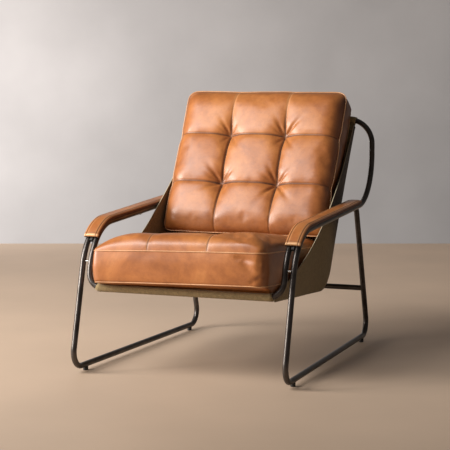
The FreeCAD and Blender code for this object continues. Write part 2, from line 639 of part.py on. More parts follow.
back_foot = crossing(on_back(0, 0, BACK_FOOT_SEAM), back_up, seat_brow + Z_AXIS * CUSHION_GAP, seat_top_line)
back_heel = crossing(lift_corner, back_up, seat_brow + Z_AXIS * CUSHION_GAP, seat_top_line)
foot_drop = (back_foot - on_back(0, 0, BACK_FOOT_SEAM)).Length
heel_drop = (back_heel - on_back(0, 0, CUSHION_LIFT)).Length
PILLOW_RISES = EDGE_PILLOW_RISE, PILLOW_RISE, EDGE_PILLOW_RISE


def pillowed(seams, corners):
    """A closed outline whose pillows arch forward between the seams, with straight sides behind them."""
    edges = []
    for start, end, rise in zip(seams, seams[1:], PILLOW_RISES):
        along = (end - start).normalize()
        outwards = (back_forward - along * along.dot(back_forward)).normalize()
        edges.append(Part.Arc(start, (start + end) * 0.5 + outwards * rise, end).toShape())
    sides = [seams[-1], *corners, seams[0]]
    edges += [Part.LineSegment(start, end).toShape() for start, end in zip(sides, sides[1:])]
    return Part.Wire(Part.__sortEdges__(edges))


def back_block(inset):
    """The cushion's side view, its cross-section and its front view, all three at once: nine pillows."""
    half_width, rear_half_width = BACK_HALF_WIDTH - inset, BACK_REAR_HALF_WIDTH - inset
    top, foot, heel = BACK_ABOVE_RAIL - inset, inset - foot_drop, inset - heel_drop
    seam_depth, edge_seam, lift = BACK_SEAM_DEPTH - inset, BACK_EDGE_SEAM - inset, CUSHION_LIFT + inset
    side_seams = [(top, BACK_TOP_SEAM - inset), *((-drop, seam_depth) for drop in BACK_SEAM_DROPS),
                  (foot, BACK_FOOT_SEAM - inset)]
    side_view = pillowed([on_back(-HALF_WIDTH, *point) for point in side_seams],
                         [on_back(-HALF_WIDTH, heel, lift), on_back(-HALF_WIDTH, top, lift)])
    cross_seams = [(-half_width, edge_seam), (-BACK_SEAM_X, seam_depth),
                   (BACK_SEAM_X, seam_depth), (half_width, edge_seam)]
    cross_view = pillowed([on_back(x, -FRAME_DEPTH, forward) for x, forward in cross_seams],
                          [on_back(x, -FRAME_DEPTH, lift) for x in (rear_half_width, -rear_half_width)])
    side, corner = half_width + BACK_CORNER_OVERLAP, BACK_CORNER - inset
    front_points = ((-side, -FRAME_DEPTH), (side, -FRAME_DEPTH), (side, top), (-side, top))
    front_view = outline([on_back(x, up, 0) for x, up in front_points], (0, 0, corner, corner))
    block = prism(side_view, X_AXIS * FRAME_WIDTH)
    block = block.common(prism(cross_view, back_up * (2 * FRAME_DEPTH)))
    block = block.common(prism(front_view, back_forward * (seam_depth + EDGE_PILLOW_RISE)))
    return block.cut(rail_rod(*top_rail_shape, HEM_RADIUS + CUSHION_GAP + inset)).Solids[0]


save("back_cushion", back_block(0).cut(back_block(COVER)))
save("back_foam", back_block(COVER + FOAM_GAP))
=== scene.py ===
"""Lounge armchair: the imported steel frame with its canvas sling, leather arms and leather cushions.

Lengths are in metres. +Z is up, the sitter faces -Y, and +X is on the sitter's left.
"""
import math

import bmesh
import bpy
import numpy as np
from mathutils import Matrix, Vector, noise
from mathutils.bvhtree import BVHTree


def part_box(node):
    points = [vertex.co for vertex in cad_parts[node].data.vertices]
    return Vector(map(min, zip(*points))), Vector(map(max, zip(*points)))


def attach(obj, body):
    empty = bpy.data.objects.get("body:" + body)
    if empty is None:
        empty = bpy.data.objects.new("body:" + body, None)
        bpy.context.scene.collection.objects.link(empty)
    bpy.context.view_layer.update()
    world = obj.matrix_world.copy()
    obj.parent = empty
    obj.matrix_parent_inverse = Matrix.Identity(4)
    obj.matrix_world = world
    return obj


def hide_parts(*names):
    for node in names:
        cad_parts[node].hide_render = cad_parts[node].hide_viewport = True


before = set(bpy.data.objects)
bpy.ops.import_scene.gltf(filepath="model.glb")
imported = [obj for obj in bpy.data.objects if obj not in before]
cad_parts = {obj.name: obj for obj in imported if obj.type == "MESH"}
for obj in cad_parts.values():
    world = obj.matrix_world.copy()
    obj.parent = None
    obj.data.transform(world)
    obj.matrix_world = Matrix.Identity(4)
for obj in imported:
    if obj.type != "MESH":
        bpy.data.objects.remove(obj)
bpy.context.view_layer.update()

bpy.ops.object.select_all(action="DESELECT")

# ---- Camera ----
# Eye height, well to the front and a little to the sitter's left, with a long lens.
# It frames the whole chair with room all round.
CAMERA_PLACE = Vector((1.8929, -4.8787, 0.9986))
CAMERA_TURN = 0.375
CAMERA_DIP = 0.104
camera = bpy.data.objects.new("camera", bpy.data.cameras.new("camera"))
bpy.context.collection.objects.link(camera)
bpy.context.scene.camera = camera
camera.location = CAMERA_PLACE
camera.rotation_euler = (math.pi / 2 - CAMERA_DIP, 0.0, CAMERA_TURN)
camera.data.sensor_width = 36.0
camera.data.lens = 123.4
bpy.context.scene.view_settings.view_transform = "Standard"

# ---- Room ----
# A pale floor, its colour darker at the front and brighter towards the back as painted light, and, well
# behind its far edge, a plain pale wall, lit softly from the chair's right.
# The wall stands square to the camera and leaves room to walk round the chair.
FLOOR_REACH = 8.57
WALL_DISTANCE = 12.2
ROOM_SIZE = 16.0
FLOOR_FRONT, FLOOR_FRONT_PAINTED_LIGHT = -1.6, 0.78
FLOOR_BACK, FLOOR_BACK_PAINTED_LIGHT = 1.4, 1.38
view_line = Vector((-math.sin(CAMERA_TURN), math.cos(CAMERA_TURN), 0.0))
floor_edge = CAMERA_PLACE + view_line * FLOOR_REACH
floor_edge.z = 0.0
wall_middle = CAMERA_PLACE + view_line * WALL_DISTANCE


def feed(node, values):
    """Sets a node's sockets: an output is linked to its socket, and anything else is stored there."""
    for socket, value in values.items():
        if isinstance(value, bpy.types.NodeSocket):
            node.id_data.links.new(value, node.inputs[socket])
        else:
            node.inputs[socket].default_value = value


def add_node(tree, kind, values=None):
    """A new shading node, with its sockets set."""
    node = tree.nodes.new(f"ShaderNode{kind}")
    feed(node, values or {})
    return node


def new_material(name):
    """A new material, its node tree, and the place on the piece that its patterns follow."""
    material = bpy.data.materials.new(name)
    material.use_nodes = True
    tree = material.node_tree
    return material, tree, add_node(tree, "TexCoord").outputs["Object"]


def cloudy(tree, place, scale, detail, roughness=0.5, distortion=0.0):
    """A pattern of soft clouds."""
    cloud = add_node(tree, "TexNoise", {
        "Vector": place,
        "Scale": scale,
        "Detail": detail,
        "Roughness": roughness,
        "Distortion": distortion,
    })
    return cloud.outputs["Fac"]


def tones(tree, pattern, *stops):
    """Turns a pattern into colours, by (value, colour) stops."""
    ramp = add_node(tree, "ValToRGB", {"Fac": pattern})
    marks = ramp.color_ramp.elements
    for value, _ in stops[1:-1]:
        marks.new(value)
    for mark, (value, colour) in zip(marks, stops):
        mark.position = value
        mark.color = (*colour, 1)
    return ramp.outputs["Color"]


def plain_material(name, colour, roughness, mottle, scale):
    """A matt finish whose tone wanders a little."""
    material, tree, place = new_material(name)
    dark = [part * (1 - mottle) for part in colour]
    light = [part * (1 + mottle) for part in colour]
    feed(tree.nodes["Principled BSDF"], {
        "Base Color": tones(tree, cloudy(tree, place, scale, detail=5.0), (0.3, dark), (0.7, light)),
        "Roughness": roughness,
    })
    return material


def select_only(piece):
    bpy.ops.object.select_all(action="DESELECT")
    piece.select_set(True)
    bpy.context.view_layer.objects.active = piece


def room_surface(name, middle, tip, paint):
    """A big flat surface of the room, square to the camera."""
    bpy.ops.mesh.primitive_plane_add(size=ROOM_SIZE, location=middle, rotation=(tip, 0, CAMERA_TURN))
    surface = bpy.context.object
    surface.name = name
    surface.data.materials.append(paint)
    select_only(surface)
    bpy.ops.object.transform_apply(location=True, rotation=True, scale=True)


floor_paint = plain_material("floor_paint", (0.53, 0.392, 0.285), roughness=0.55, mottle=0.06, scale=1.5)
tree = floor_paint.node_tree
place = add_node(tree, "TexCoord").outputs["Object"]
depth = add_node(tree, "SeparateXYZ", {"Vector": place})
# Painted light: the floor's colour is scaled from dark at the front to bright at the back, for light that
# falls off towards the front.
fade = add_node(tree, "MapRange", {
    "Value": depth.outputs["Y"],
    "From Min": FLOOR_FRONT,
    "From Max": FLOOR_BACK,
    "To Min": FLOOR_FRONT_PAINTED_LIGHT,
    "To Max": FLOOR_BACK_PAINTED_LIGHT,
})
paint_colour = tree.nodes["Principled BSDF"].inputs["Base Color"]
floor_light_falloff = tree.nodes.new("ShaderNodeVectorMath")
floor_light_falloff.operation = "SCALE"
feed(floor_light_falloff, {"Vector": paint_colour.links[0].from_socket, "Scale": fade.outputs["Result"]})
feed(tree.nodes["Principled BSDF"], {"Base Color": floor_light_falloff.outputs["Vector"]})
room_surface("floor", floor_edge - view_line * ROOM_SIZE / 2, 0.0, floor_paint)
wall_paint = plain_material("wall_paint", (0.51, 0.482, 0.472), roughness=0.8, mottle=0.09, scale=1.2)
room_surface("wall", wall_middle, math.pi / 2, wall_paint)


def lamp(name, place, aim, size, watts, colour):
    """A soft box, pointed at its aim."""
    light = bpy.data.lights.new(name, "AREA")
    light.shape = "RECTANGLE"
    light.size, light.size_y = size
    light.energy = watts
    light.color = colour
    box = bpy.data.objects.new(name, light)
    bpy.context.collection.objects.link(box)
    box.location = place
    box.rotation_euler = (Vector(aim) - Vector(place)).to_track_quat("-Z", "Y").to_euler()


CHAIR_MIDDLE = (0.0, 0.0, 0.45)
WALL_AIM = (-2.3, 6.54, 0.8)
lamp("window_lamp", (-2.85, -2.0, 1.35), CHAIR_MIDDLE, (1.4, 1.4), 158.0, (1.0, 0.96, 0.91))
lamp("top_lamp", (-1.8, -2.2, 3.0), CHAIR_MIDDLE, (1.9, 1.5), 96.0, (1.0, 0.99, 0.97))
lamp("wall_lamp", (-4.56, 2.8, 0.8), WALL_AIM, (1.6, 1.6), 166.0, (1.0, 0.975, 0.96))
world = bpy.data.worlds.new("studio")
bpy.context.scene.world = world
world.use_nodes = True
tree = world.node_tree
soft_light = tree.nodes["Background"]
feed(soft_light, {"Color": (1.0, 0.95, 0.9, 1), "Strength": 0.11})
beyond = add_node(tree, "Background", {"Color": (0.42, 0.395, 0.38, 1)})
seen = add_node(tree, "MixShader", {
    "Fac": add_node(tree, "LightPath").outputs["Is Camera Ray"],
    1: soft_light.outputs["Background"],
    2: beyond.outputs["Background"],
})
feed(tree.nodes["World Output"], {"Surface": seen.outputs["Shader"]})


# ---- Tube frame ----
# 19 mm steel tube, bent, welded and finished in a burnished dark bronze, rubbed paler here and there.
# Two bent tubes make each side, and a stretcher, two rails and their spigots join the sides.
def emboss(tree, pattern, height, strength, below=None):
    """Raises the surface by a pattern, on top of the relief below it."""
    bump = add_node(tree, "Bump", {"Height": pattern, "Distance": height, "Strength": strength})
    if below:
        feed(bump, {"Normal": below})
    return bump.outputs["Normal"]


def painted(name, colour, rubbed_and_highlit, metallic, roughness, grain):
    """A lacquered metal or plastic whose tone and gloss vary along it."""
    material, tree, place = new_material(name)
    cloud = cloudy(tree, place, scale=18.0, detail=6.0, roughness=0.65)
    gloss = add_node(tree, "MapRange", {
        "Value": cloud,
        "To Min": roughness - 0.06,
        "To Max": roughness + 0.08,
    })
    feed(tree.nodes["Principled BSDF"], {
        "Base Color": tones(tree, cloud, (0.35, colour), (0.75, rubbed_and_highlit)),
        "Metallic": metallic,
        "Roughness": gloss.outputs["Result"],
        "Normal": emboss(tree, cloudy(tree, place, grain, detail=3.0), height=0.0002, strength=0.15),
    })
    return material


def finish_nodes(material, *starts):
    """Gives a material to every CAD node whose name starts with one of these words."""
    for name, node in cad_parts.items():
        if name.startswith(starts):
            node.data.materials.clear()
            node.data.materials.append(material)


bronze = painted("burnished_bronze", (0.052, 0.044, 0.040), rubbed_and_highlit=(0.13, 0.114, 0.105),
                 metallic=0.85, roughness=0.32, grain=420.0)
finish_nodes(bronze, "outer_tube", "inner_tube", "front_rail", "top_rail", "rear_stretcher",
             "runner_sleeve", "arm_clips")

# ---- Spacer pins, screws and set screws ----
# Bare bright steel pins that tie each pair of tubes together, and the steel fasteners.
# The pins are welded between the two front legs, and the screws hold the arm pads and the rails.
bright_steel = painted("bright_steel", (0.38, 0.37, 0.35), rubbed_and_highlit=(0.55, 0.53, 0.51),
                       metallic=1.0, roughness=0.3, grain=700.0)
finish_nodes(bright_steel, "spacer_pin", "arm_screws", "rail_set_screws")

# ---- Glides and arm cores ----
# Black moulded plastic: the feet, pressed by their stems into the runners, and the channels that the
# arm pads are fixed to.
black_plastic = painted("black_plastic", (0.012, 0.012, 0.012), rubbed_and_highlit=(0.022, 0.021, 0.02),
                        metallic=0.0, roughness=0.5, grain=900.0)
finish_nodes(black_plastic, "glide_", "arm_core")

# ---- Arm pads ----
# Saddle leather caps over foam, one on each arm, from the rear of the arm round its front bend.
# Each is sewn along both edges, folded down at its ends and screwed up from below to its black core.
SIDES = {"left": 1, "right": -1}
ARM_RISE = math.radians(2.95)
PAD_LIP_RADIUS = 0.1733
PAD_TOP_RADIUS = 0.1845
PAD_WRAP = math.radians(43.0)
PAD_HALF_WIDTH = 0.026
PAD_LEATHER = 0.0016
PAD_CORNER = 0.0045
PAD_CEILING = 0.1774
PAD_END_CEILING = 0.1749
PAD_END_ROUND = 0.0035
PAD_CROWN = 0.0012
PAD_FLARE = 0.0002
PAD_PUFF = 0.0006
PAD_PUFF_WIDTH = 0.004
PAD_RIPPLE = 0.0005
PAD_SEAM_INSET = 0.0086
PAD_SEAM_DEPTH = 0.0011
PAD_SEAM_WIDTH = 0.0016
PAD_HEM = 0.011
PAD_EDGE_DROP = 0.004
PAD_STEP = 0.004
STITCH_PITCH = 0.0048
STITCH_LENGTH = 0.0034
STITCH_RADIUS = 0.00045
# A pale tint for wear and painted highlights, and a near-black tint for painted shade in seams, folds and
# on the boxing.
WEAR_AND_HIGHLIGHT_TINT, WEAR_AND_HIGHLIGHT_STRENGTH = (0.85, 0.48, 0.22), 0.28
SEAM_SHADE_TINT, SEAM_SHADE_STRENGTH = (0.075, 0.020, 0.005), 0.95


def combine(tree, operation, first, second):
    """Works out one value from two."""
    node = tree.nodes.new("ShaderNodeMath")
    node.operation = operation
    feed(node, {0: first, 1: second})
    return node.outputs["Value"]


def blend(tree, way, amount, colour, over):
    """Lays one colour over another."""
    node = tree.nodes.new("ShaderNodeMix")
    node.data_type = "RGBA"
    node.blend_type = way
    feed(node, {"Factor": amount, "A": colour, "B": over})
    return node.outputs["Result"]


def attribute_value(tree, name):
    reader = tree.nodes.new("ShaderNodeAttribute")
    reader.attribute_name = name
    return reader.outputs["Fac"]


def leather_finish(name, dark, middle, light):
    """Waxed full-grain leather: cloudy tan with pores, darkened by painted shade where its seam attribute
    is set, and paler for wear and painted highlights.
    """
    material, tree, place = new_material(name)
    cloud = cloudy(tree, place, scale=6.0, detail=6.0, roughness=0.62, distortion=0.6)
    tan = tones(tree, cloud, (0.3, dark), (0.5, middle), (0.72, light))
    patina = cloudy(tree, place, scale=38.0, detail=8.0, roughness=0.7)
    grime = tones(tree, patina, (0.34, (0.70, 0.62, 0.56)), (0.56, (1.0, 1.0, 1.0)))
    aged = blend(tree, "MULTIPLY", 0.55, tan, grime)
    # A pale tint is laid on for wear and painted highlights, and a near-black tint as painted shade in
    # seams, folds and boxing.
    wear_and_highlight = combine(tree, "MULTIPLY", attribute_value(tree, "wear_and_highlight"), WEAR_AND_HIGHLIGHT_STRENGTH)
    rubbed_and_highlit = blend(tree, "MIX", wear_and_highlight, aged, (*WEAR_AND_HIGHLIGHT_TINT, 1))
    seam = combine(tree, "MULTIPLY", attribute_value(tree, "seam"), SEAM_SHADE_STRENGTH)
    gloss = add_node(tree, "MapRange", {"Value": cloud, "To Min": 0.34, "To Max": 0.48})
    pores = add_node(tree, "TexVoronoi", {"Vector": place, "Scale": 430.0})
    wrinkles = cloudy(tree, place, scale=55.0, detail=8.0, roughness=0.7, distortion=1.2)
    creases = emboss(tree, wrinkles, height=0.0005, strength=0.2)
    feed(tree.nodes["Principled BSDF"], {
        "Base Color": blend(tree, "MIX", seam, rubbed_and_highlit, (*SEAM_SHADE_TINT, 1)),
        "Roughness": combine(tree, "MAXIMUM", gloss.outputs["Result"], seam),
        "Specular IOR Level": 0.6,
        "Coat Weight": 0.4,
        "Coat Roughness": 0.4,
        "Normal": emboss(tree, pores.outputs["Distance"], height=0.0003, strength=0.35, below=creases),
    })
    return material


def new_piece(name, mesh):
    """Makes a piece of a mesh that is ready."""
    data = bpy.data.meshes.new(name)
    mesh.to_mesh(data)
    mesh.free()
    piece = bpy.data.objects.new(name, data)
    bpy.context.collection.objects.link(piece)
    return piece


def strip_mesh(name, rings, closed=True, looped=False):
    """A piece through rows of points, each joined to the next, and the last to the first where looped."""
    mesh = bmesh.new()
    rows = [[mesh.verts.new(point) for point in ring] for ring in rings]
    count = len(rows[0])
    for row, after in zip(rows, rows[1:] + rows[:1] if looped else rows[1:]):
        for index in range(count if closed else count - 1):
            beside = (index + 1) % count
            mesh.faces.new((row[index], row[beside], after[beside], after[index]))
    if closed and not looped:
        mesh.faces.new(rows[0][::-1])
        mesh.faces.new(rows[-1])
    bmesh.ops.recalc_face_normals(mesh, faces=mesh.faces)
    piece = new_piece(name, mesh)
    piece.data.shade_smooth()
    return piece


def give_attribute(piece, name, values):
    """Stores one value for each point, for the material to read."""
    attribute = piece.data.attributes.new(name, "FLOAT", "POINT")
    attribute.data.foreach_set("value", np.asarray(values, np.float32))


def between_steps(distance, steps, values):
    """The value at a distance along a row whose values are known at each step."""
    return Vector([np.interp(distance, steps, column) for column in values.T])


def stitches(name, rows, material):
    """Short thread stitches along rows of (point, outward normal) pairs, each a little lozenge bar."""
    mesh = bmesh.new()
    for row in rows:
        places = np.array([point for point, _ in row])
        normals = np.array([normal for _, normal in row])
        steps = np.r_[0, np.cumsum(np.linalg.norm(np.diff(places, axis=0), axis=1))]
        for centre in np.arange(STITCH_PITCH / 2, steps[-1], STITCH_PITCH):
            start = between_steps(centre - STITCH_LENGTH / 2, steps, places)
            end = between_steps(centre + STITCH_LENGTH / 2, steps, places)
            out = between_steps(centre, steps, normals).normalized()
            side = (end - start).cross(out).normalized() * STITCH_RADIUS
            rise = out * STITCH_RADIUS * 1.2
            middle = (start + end) / 2
            ring = [mesh.verts.new(middle + shift) for shift in (side, rise, -side, -rise)]
            tips = [mesh.verts.new(tip - rise * 0.6) for tip in (start, end)]
            for index in range(4):
                beside = (index + 1) % 4
                mesh.faces.new((ring[index], ring[beside], tips[1]))
                mesh.faces.new((ring[beside], ring[index], tips[0]))
    bmesh.ops.recalc_face_normals(mesh, faces=mesh.faces)
    piece = new_piece(name, mesh)
    piece.data.materials.append(material)
    return piece


def bell(distance, width):
    """One on a line, fading softly to nothing on both sides of it."""
    return np.exp(-(distance / width) ** 2)


tan_leather = leather_finish("tan_leather", (0.31, 0.094, 0.02), (0.46, 0.154, 0.036), (0.6, 0.228, 0.06))
thread = plain_material("brown_thread", (0.09, 0.045, 0.02), roughness=0.7, mottle=0.2, scale=900.0)
pad_low, pad_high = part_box("arm_pad_left")
pad_turn = PAD_WRAP + ARM_RISE
pad_centre = Vector(((pad_low.x + pad_high.x) / 2, pad_low.y + PAD_TOP_RADIUS * math.sin(pad_turn),
                     pad_low.z - PAD_LIP_RADIUS * math.cos(pad_turn)))
arm_line = Vector((0, math.cos(ARM_RISE), math.sin(ARM_RISE)))
pad_straight = (pad_high.y - pad_centre.y + PAD_LIP_RADIUS * math.sin(ARM_RISE)) / math.cos(ARM_RISE)
pad_bend = PAD_TOP_RADIUS * PAD_WRAP
pad_length = pad_bend + pad_straight
pad_seam_line = PAD_HALF_WIDTH - PAD_SEAM_INSET


def on_pad(along, across, radius):
    """A place on the pad, from its front end: along it, across it, and out from the bend's centre."""
    if along < pad_bend:
        lean = ARM_RISE + (pad_bend - along) / PAD_TOP_RADIUS
        run = 0.0
    else:
        lean = ARM_RISE
        run = along - pad_bend
    out = Vector((0, -math.sin(lean), math.cos(lean)))
    return pad_centre + Vector((across, 0, 0)) + out * radius + arm_line * run, out


def pad_profile(from_end):
    """The outline across the pad, as (across, radius) points, at a distance from its nearer end."""
    rounding = max(0.0, 1 - from_end / PAD_END_ROUND)
    shrink = PAD_END_ROUND * (1 - math.sqrt(1 - rounding ** 2))
    top = PAD_TOP_RADIUS - shrink
    half = PAD_HALF_WIDTH - shrink * 0.5
    inside = half - PAD_LEATHER
    ceiling = PAD_END_CEILING if from_end < PAD_LEATHER else PAD_CEILING
    flare = (half + PAD_FLARE, (PAD_LIP_RADIUS + top) / 2 - 0.001)
    corner = [(half - PAD_CORNER * (1 - math.cos(turn)), top - PAD_CORNER * (1 - math.sin(turn)))
              for turn in np.linspace(math.pi / 2, 0, 6)]
    points = [(-half, PAD_LIP_RADIUS), (-flare[0], flare[1])]
    points += [(-across, radius) for across, radius in reversed(corner)]
    for across in np.linspace(-half + PAD_CORNER, half - PAD_CORNER, 41)[1:-1]:
        from_seam = abs(abs(across) - (half - PAD_SEAM_INSET))
        crown = PAD_CROWN * (1 - (across / half) ** 2) ** 0.5
        puff = PAD_PUFF * (1 - bell(from_seam, PAD_PUFF_WIDTH))
        sunk = PAD_SEAM_DEPTH * bell(from_seam, PAD_SEAM_WIDTH)
        points.append((across, top + crown * (1 - rounding) + puff - sunk))
    points += [*corner, flare, (half, PAD_LIP_RADIUS), (inside, PAD_LIP_RADIUS), (inside, ceiling),
               (-inside, ceiling), (-inside, PAD_LIP_RADIUS)]
    return points


def pad_marks(along, across, radius, in_painted_shade):
    """How much painted shade a place takes along its seams, most on the pad's left, and on the pad's
    sides, and how pale it is from wear and painted highlights.
    """
    from_seam = abs(abs(across) - pad_seam_line)
    if radius > PAD_TOP_RADIUS - 0.003:
        hemmed = 0.8 * bell(along - PAD_HEM, 0.0012)
        seam = max(hemmed, (1.0 if in_painted_shade else 0.45) * bell(from_seam, 0.0014))
        # A pale line beside each seam stands for wear and a painted highlight.
        rubbed_and_highlit = bell(from_seam - 0.0035, 0.002)
    else:
        # Painted shade: the sides below the top are darkened in full.
        seam = 1.0 if radius < PAD_TOP_RADIUS - PAD_EDGE_DROP else 0.1
        rubbed_and_highlit = 0.6 * bell(radius - PAD_TOP_RADIUS + PAD_EDGE_DROP, 0.002)
    # The pale band along the folded front lip is a painted highlight.
    folded_lip = 3.2 * bell(((along - 0.003) / 0.0055) ** 2, 1.0)
    return seam, max(folded_lip, rubbed_and_highlit)


end_steps = [0.0, 0.0004, 0.0010, 0.0015, 0.0017, 0.0025, 0.0035, 0.005]
middle_steps = np.linspace(0.008, pad_length - 0.008, int(pad_length / PAD_STEP))
pad_steps = [*end_steps, *middle_steps, *[pad_length - step for step in reversed(end_steps)]]
for side, sign in SIDES.items():
    rings = []
    marks = []
    for along in pad_steps:
        ring = []
        for across, radius in pad_profile(min(along, pad_length - along)):
            place, out = on_pad(along, across, radius)
            place += out * PAD_RIPPLE * noise.noise(Vector((across * 30, along * 12, 5.0 * sign)))
            ring.append((sign * place.x, place.y, place.z))
            marks.append(pad_marks(along, across, radius, sign * across > 0))
        rings.append(ring)
    pad = strip_mesh(f"arm_leather_{side}", rings)
    give_attribute(pad, "seam", [seam for seam, _ in marks])
    give_attribute(pad, "wear_and_highlight", [wear_and_highlight for _, wear_and_highlight in marks])
    pad.data.materials.append(tan_leather)
    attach(pad, "root")
    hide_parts(f"arm_pad_{side}", f"arm_foam_{side}")
    rows = []
    for edge in (-1, 1):
        row = []
        for along in np.linspace(0.006, pad_length - 0.006, 180):
            place, out = on_pad(along, edge * pad_seam_line, PAD_TOP_RADIUS + 0.0005)
            row.append(((sign * place.x, place.y, place.z), tuple(out)))
        rows.append(row)
    sewing = stitches(f"arm_stitches_{side}", rows, thread)
    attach(sewing, "root")

# ---- Sling ----
# One length of heavy olive canvas runs from the front rail, under the seat and up to the top rail.
# Its ends are sewn into sleeves round the rails, and the wings are sewn to its sides.
CANVAS = 0.0024
RAIL_RADIUS = 0.0095
SLEEVE_RADIUS = RAIL_RADIUS + 0.0004 + CANVAS / 2
SLEEVE_HALF_WIDTH = 0.302
PANEL_HALF_WIDTH = 0.300
PANEL_WAIST = 0.010
PANEL_SLACK = 0.0016
SEAT_FALL = math.radians(3.84)
RECLINE = math.radians(27.5)
CROTCH_BEND = 0.124
RAIL_BENDS = {"front": (0.2838, 0.050, 1), "top": (0.2770, 0.085, -1)}
HEM_ALLOWANCE = 0.030
HEM_START = 0.015
HEM_LIFT = CANVAS + 0.0004
TOP_EASE = 0.040


def side_view(y, z):
    """A place or direction in the chair's middle plane."""
    return Vector((0.0, y, z))


def rail_middle(node):
    low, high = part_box(node)
    return side_view((low.y + high.y) / 2, (low.z + high.z) / 2)


def crossed(one, other):
    return one.y * other.z - one.z * other.y


front_rail = rail_middle("front_rail")
top_rail = rail_middle("top_rail")
seat_back = side_view(math.cos(SEAT_FALL), -math.sin(SEAT_FALL))
seat_up = side_view(math.sin(SEAT_FALL), math.cos(SEAT_FALL))
back_up = side_view(math.sin(RECLINE), math.cos(RECLINE))
back_forward = side_view(-math.cos(RECLINE), math.sin(RECLINE))
panel_front = front_rail - seat_up * SLEEVE_RADIUS
seat_reach = crossed(top_rail - panel_front, back_up) / crossed(seat_back, back_up)
crotch = panel_front + seat_back * seat_reach
crotch_turn = math.pi / 2 - RECLINE + SEAT_FALL
crotch_reach = CROTCH_BEND * math.tan(crotch_turn / 2)
seat_run = (crotch - panel_front).length - crotch_reach
crotch_run = CROTCH_BEND * crotch_turn
back_run = (top_rail - crotch).length - crotch_reach
canvas_run = seat_run + crotch_run + back_run
crotch_centre = panel_front + seat_back * seat_run + seat_up * CROTCH_BEND


def on_canvas(distance, offset=0.0):
    """A place on the sling's middle line from the front rail, moved inwards by the offset."""
    if distance < seat_run:
        return panel_front + seat_back * distance + seat_up * offset
    if distance < seat_run + crotch_run:
        climb = (distance - seat_run) / CROTCH_BEND - SEAT_FALL
        return crotch_centre + side_view(math.sin(climb), -math.cos(climb)) * (CROTCH_BEND - offset)
    along = distance - seat_run - crotch_run
    return top_rail - back_up * (back_run - along) + back_forward * offset


def smooth_step(values):
    """Eases from nothing at nought to all at one."""
    share = np.clip(values, 0, 1)
    return share * share * (3 - 2 * share)


def behind_rail(distance):
    """How far the panel lies back near the top rail, to meet the back of its sleeve."""
    return -SLEEVE_RADIUS * float(smooth_step(1 - (canvas_run - distance) / TOP_EASE))


def swell(share):
    """Nothing at both ends and one in the middle."""
    return 4 * share * (1 - share)


def panel_edge(share):
    """Half the panel's width, which draws in to a waist."""
    return PANEL_HALF_WIDTH - PANEL_WAIST * swell(share)


def canvas_finish(name, dark, light, threads):
    """Heavy plain-woven canvas, with the threads drawn from the piece's own flat pattern, darkened towards
    near-black as painted shade where an attribute says.
    """
    material, tree, place = new_material(name)
    flat = add_node(tree, "UVMap")
    waves = []
    for direction in ("X", "Y"):
        wave = add_node(tree, "TexWave", {
            "Vector": flat.outputs["UV"],
            "Scale": threads,
            "Distortion": 1.2,
            "Detail": 2.0,
            "Detail Scale": 1.5,
        })
        wave.bands_direction = direction
        waves.append(wave.outputs["Fac"])
    weave = combine(tree, "MAXIMUM", *waves)
    slubs = combine(tree, "MULTIPLY", weave, cloudy(tree, place, scale=110.0, detail=8.0, roughness=0.75))
    olive = tones(tree, slubs, (0.2, dark), (0.65, light))
    feed(tree.nodes["Principled BSDF"], {
        # Painted shade: the colour is blended to near-black by a per-point attribute.
        "Base Color": blend(tree, "MIX", attribute_value(tree, "painted_canvas_shade"), olive, (0.022, 0.013, 0.008, 1)),
        "Roughness": 0.88,
        "Sheen Weight": 0.12,
        "Sheen Roughness": 0.6,
        "Normal": emboss(tree, weave, height=0.0005, strength=0.6),
    })
    return material


canvas = canvas_finish("olive_canvas", (0.13, 0.088, 0.036), (0.46, 0.325, 0.142), threads=160.0)
canvas_edge = plain_material("canvas_cut_edge", (0.52, 0.44, 0.3), roughness=0.9, mottle=0.12, scale=300.0)


def sheet_piece(name, rows, flat_rows):
    """An open sheet through rows of points, with each point's place on the flat cloth as its UV."""
    piece = strip_mesh(name, rows, closed=False)
    layer = piece.data.uv_layers.new(name="flat")
    flat = np.array([place for row in flat_rows for place in row])
    corners = np.empty(len(piece.data.loops), int)
    piece.data.loops.foreach_get("vertex_index", corners)
    layer.data.foreach_set("uv", flat[corners].astype(np.float32).ravel())
    return piece


def thicken(piece):
    """Gives a canvas sheet its real thickness, with pale cut edges."""
    solid = piece.modifiers.new("thickness", "SOLIDIFY")
    solid.thickness = CANVAS
    solid.offset = 0.0
    solid.material_offset_rim = 1
    piece.data.materials.append(canvas)
    piece.data.materials.append(canvas_edge)
    select_only(piece)
    bpy.ops.object.modifier_apply(modifier="thickness")


def sleeve_point(rail, name, x, turn, ahead, upward):
    """A place on the sleeve round a rail, which follows the rail into its bend."""
    bend_start, bend_radius, climb = RAIL_BENDS[name]
    centre = Vector(rail)
    normal = Vector((0, 0, 1))
    beyond = abs(x) - bend_start
    if beyond > 0:
        lean = math.asin(beyond / bend_radius)
        centre.z += climb * bend_radius * (1 - math.cos(lean))
        normal = Vector((-math.copysign(math.sin(lean), x) * climb, 0, math.cos(lean)))
    centre.x = x
    spread = ahead * math.sin(turn) + upward * math.cos(turn)
    return centre + Vector((0, spread.y, 0)) * SLEEVE_RADIUS + normal * (spread.z * SLEEVE_RADIUS)


sleeve_turns = np.radians(np.linspace(285, 10, 34))
plain_steps = np.linspace(0, canvas_run - TOP_EASE, 104)
eased_steps = np.linspace(canvas_run - TOP_EASE, canvas_run, 12)[1:]
widths = np.linspace(-1, 1, 61)


def sleeve_rows(rail, name, turns, ahead, upward):
    """The canvas round a rail, one row for each turn."""
    return [[tuple(sleeve_point(rail, name, share * SLEEVE_HALF_WIDTH, turn, ahead, upward))
             for share in widths] for turn in turns]


def hem_rows(distances):
    """The hem allowance, sewn down on the panel's inner face."""
    rows = []
    for distance in distances:
        hem = on_canvas(distance, behind_rail(distance) + HEM_LIFT)
        rows.append([(share * PANEL_HALF_WIDTH, hem.y, hem.z) for share in widths])
    return rows


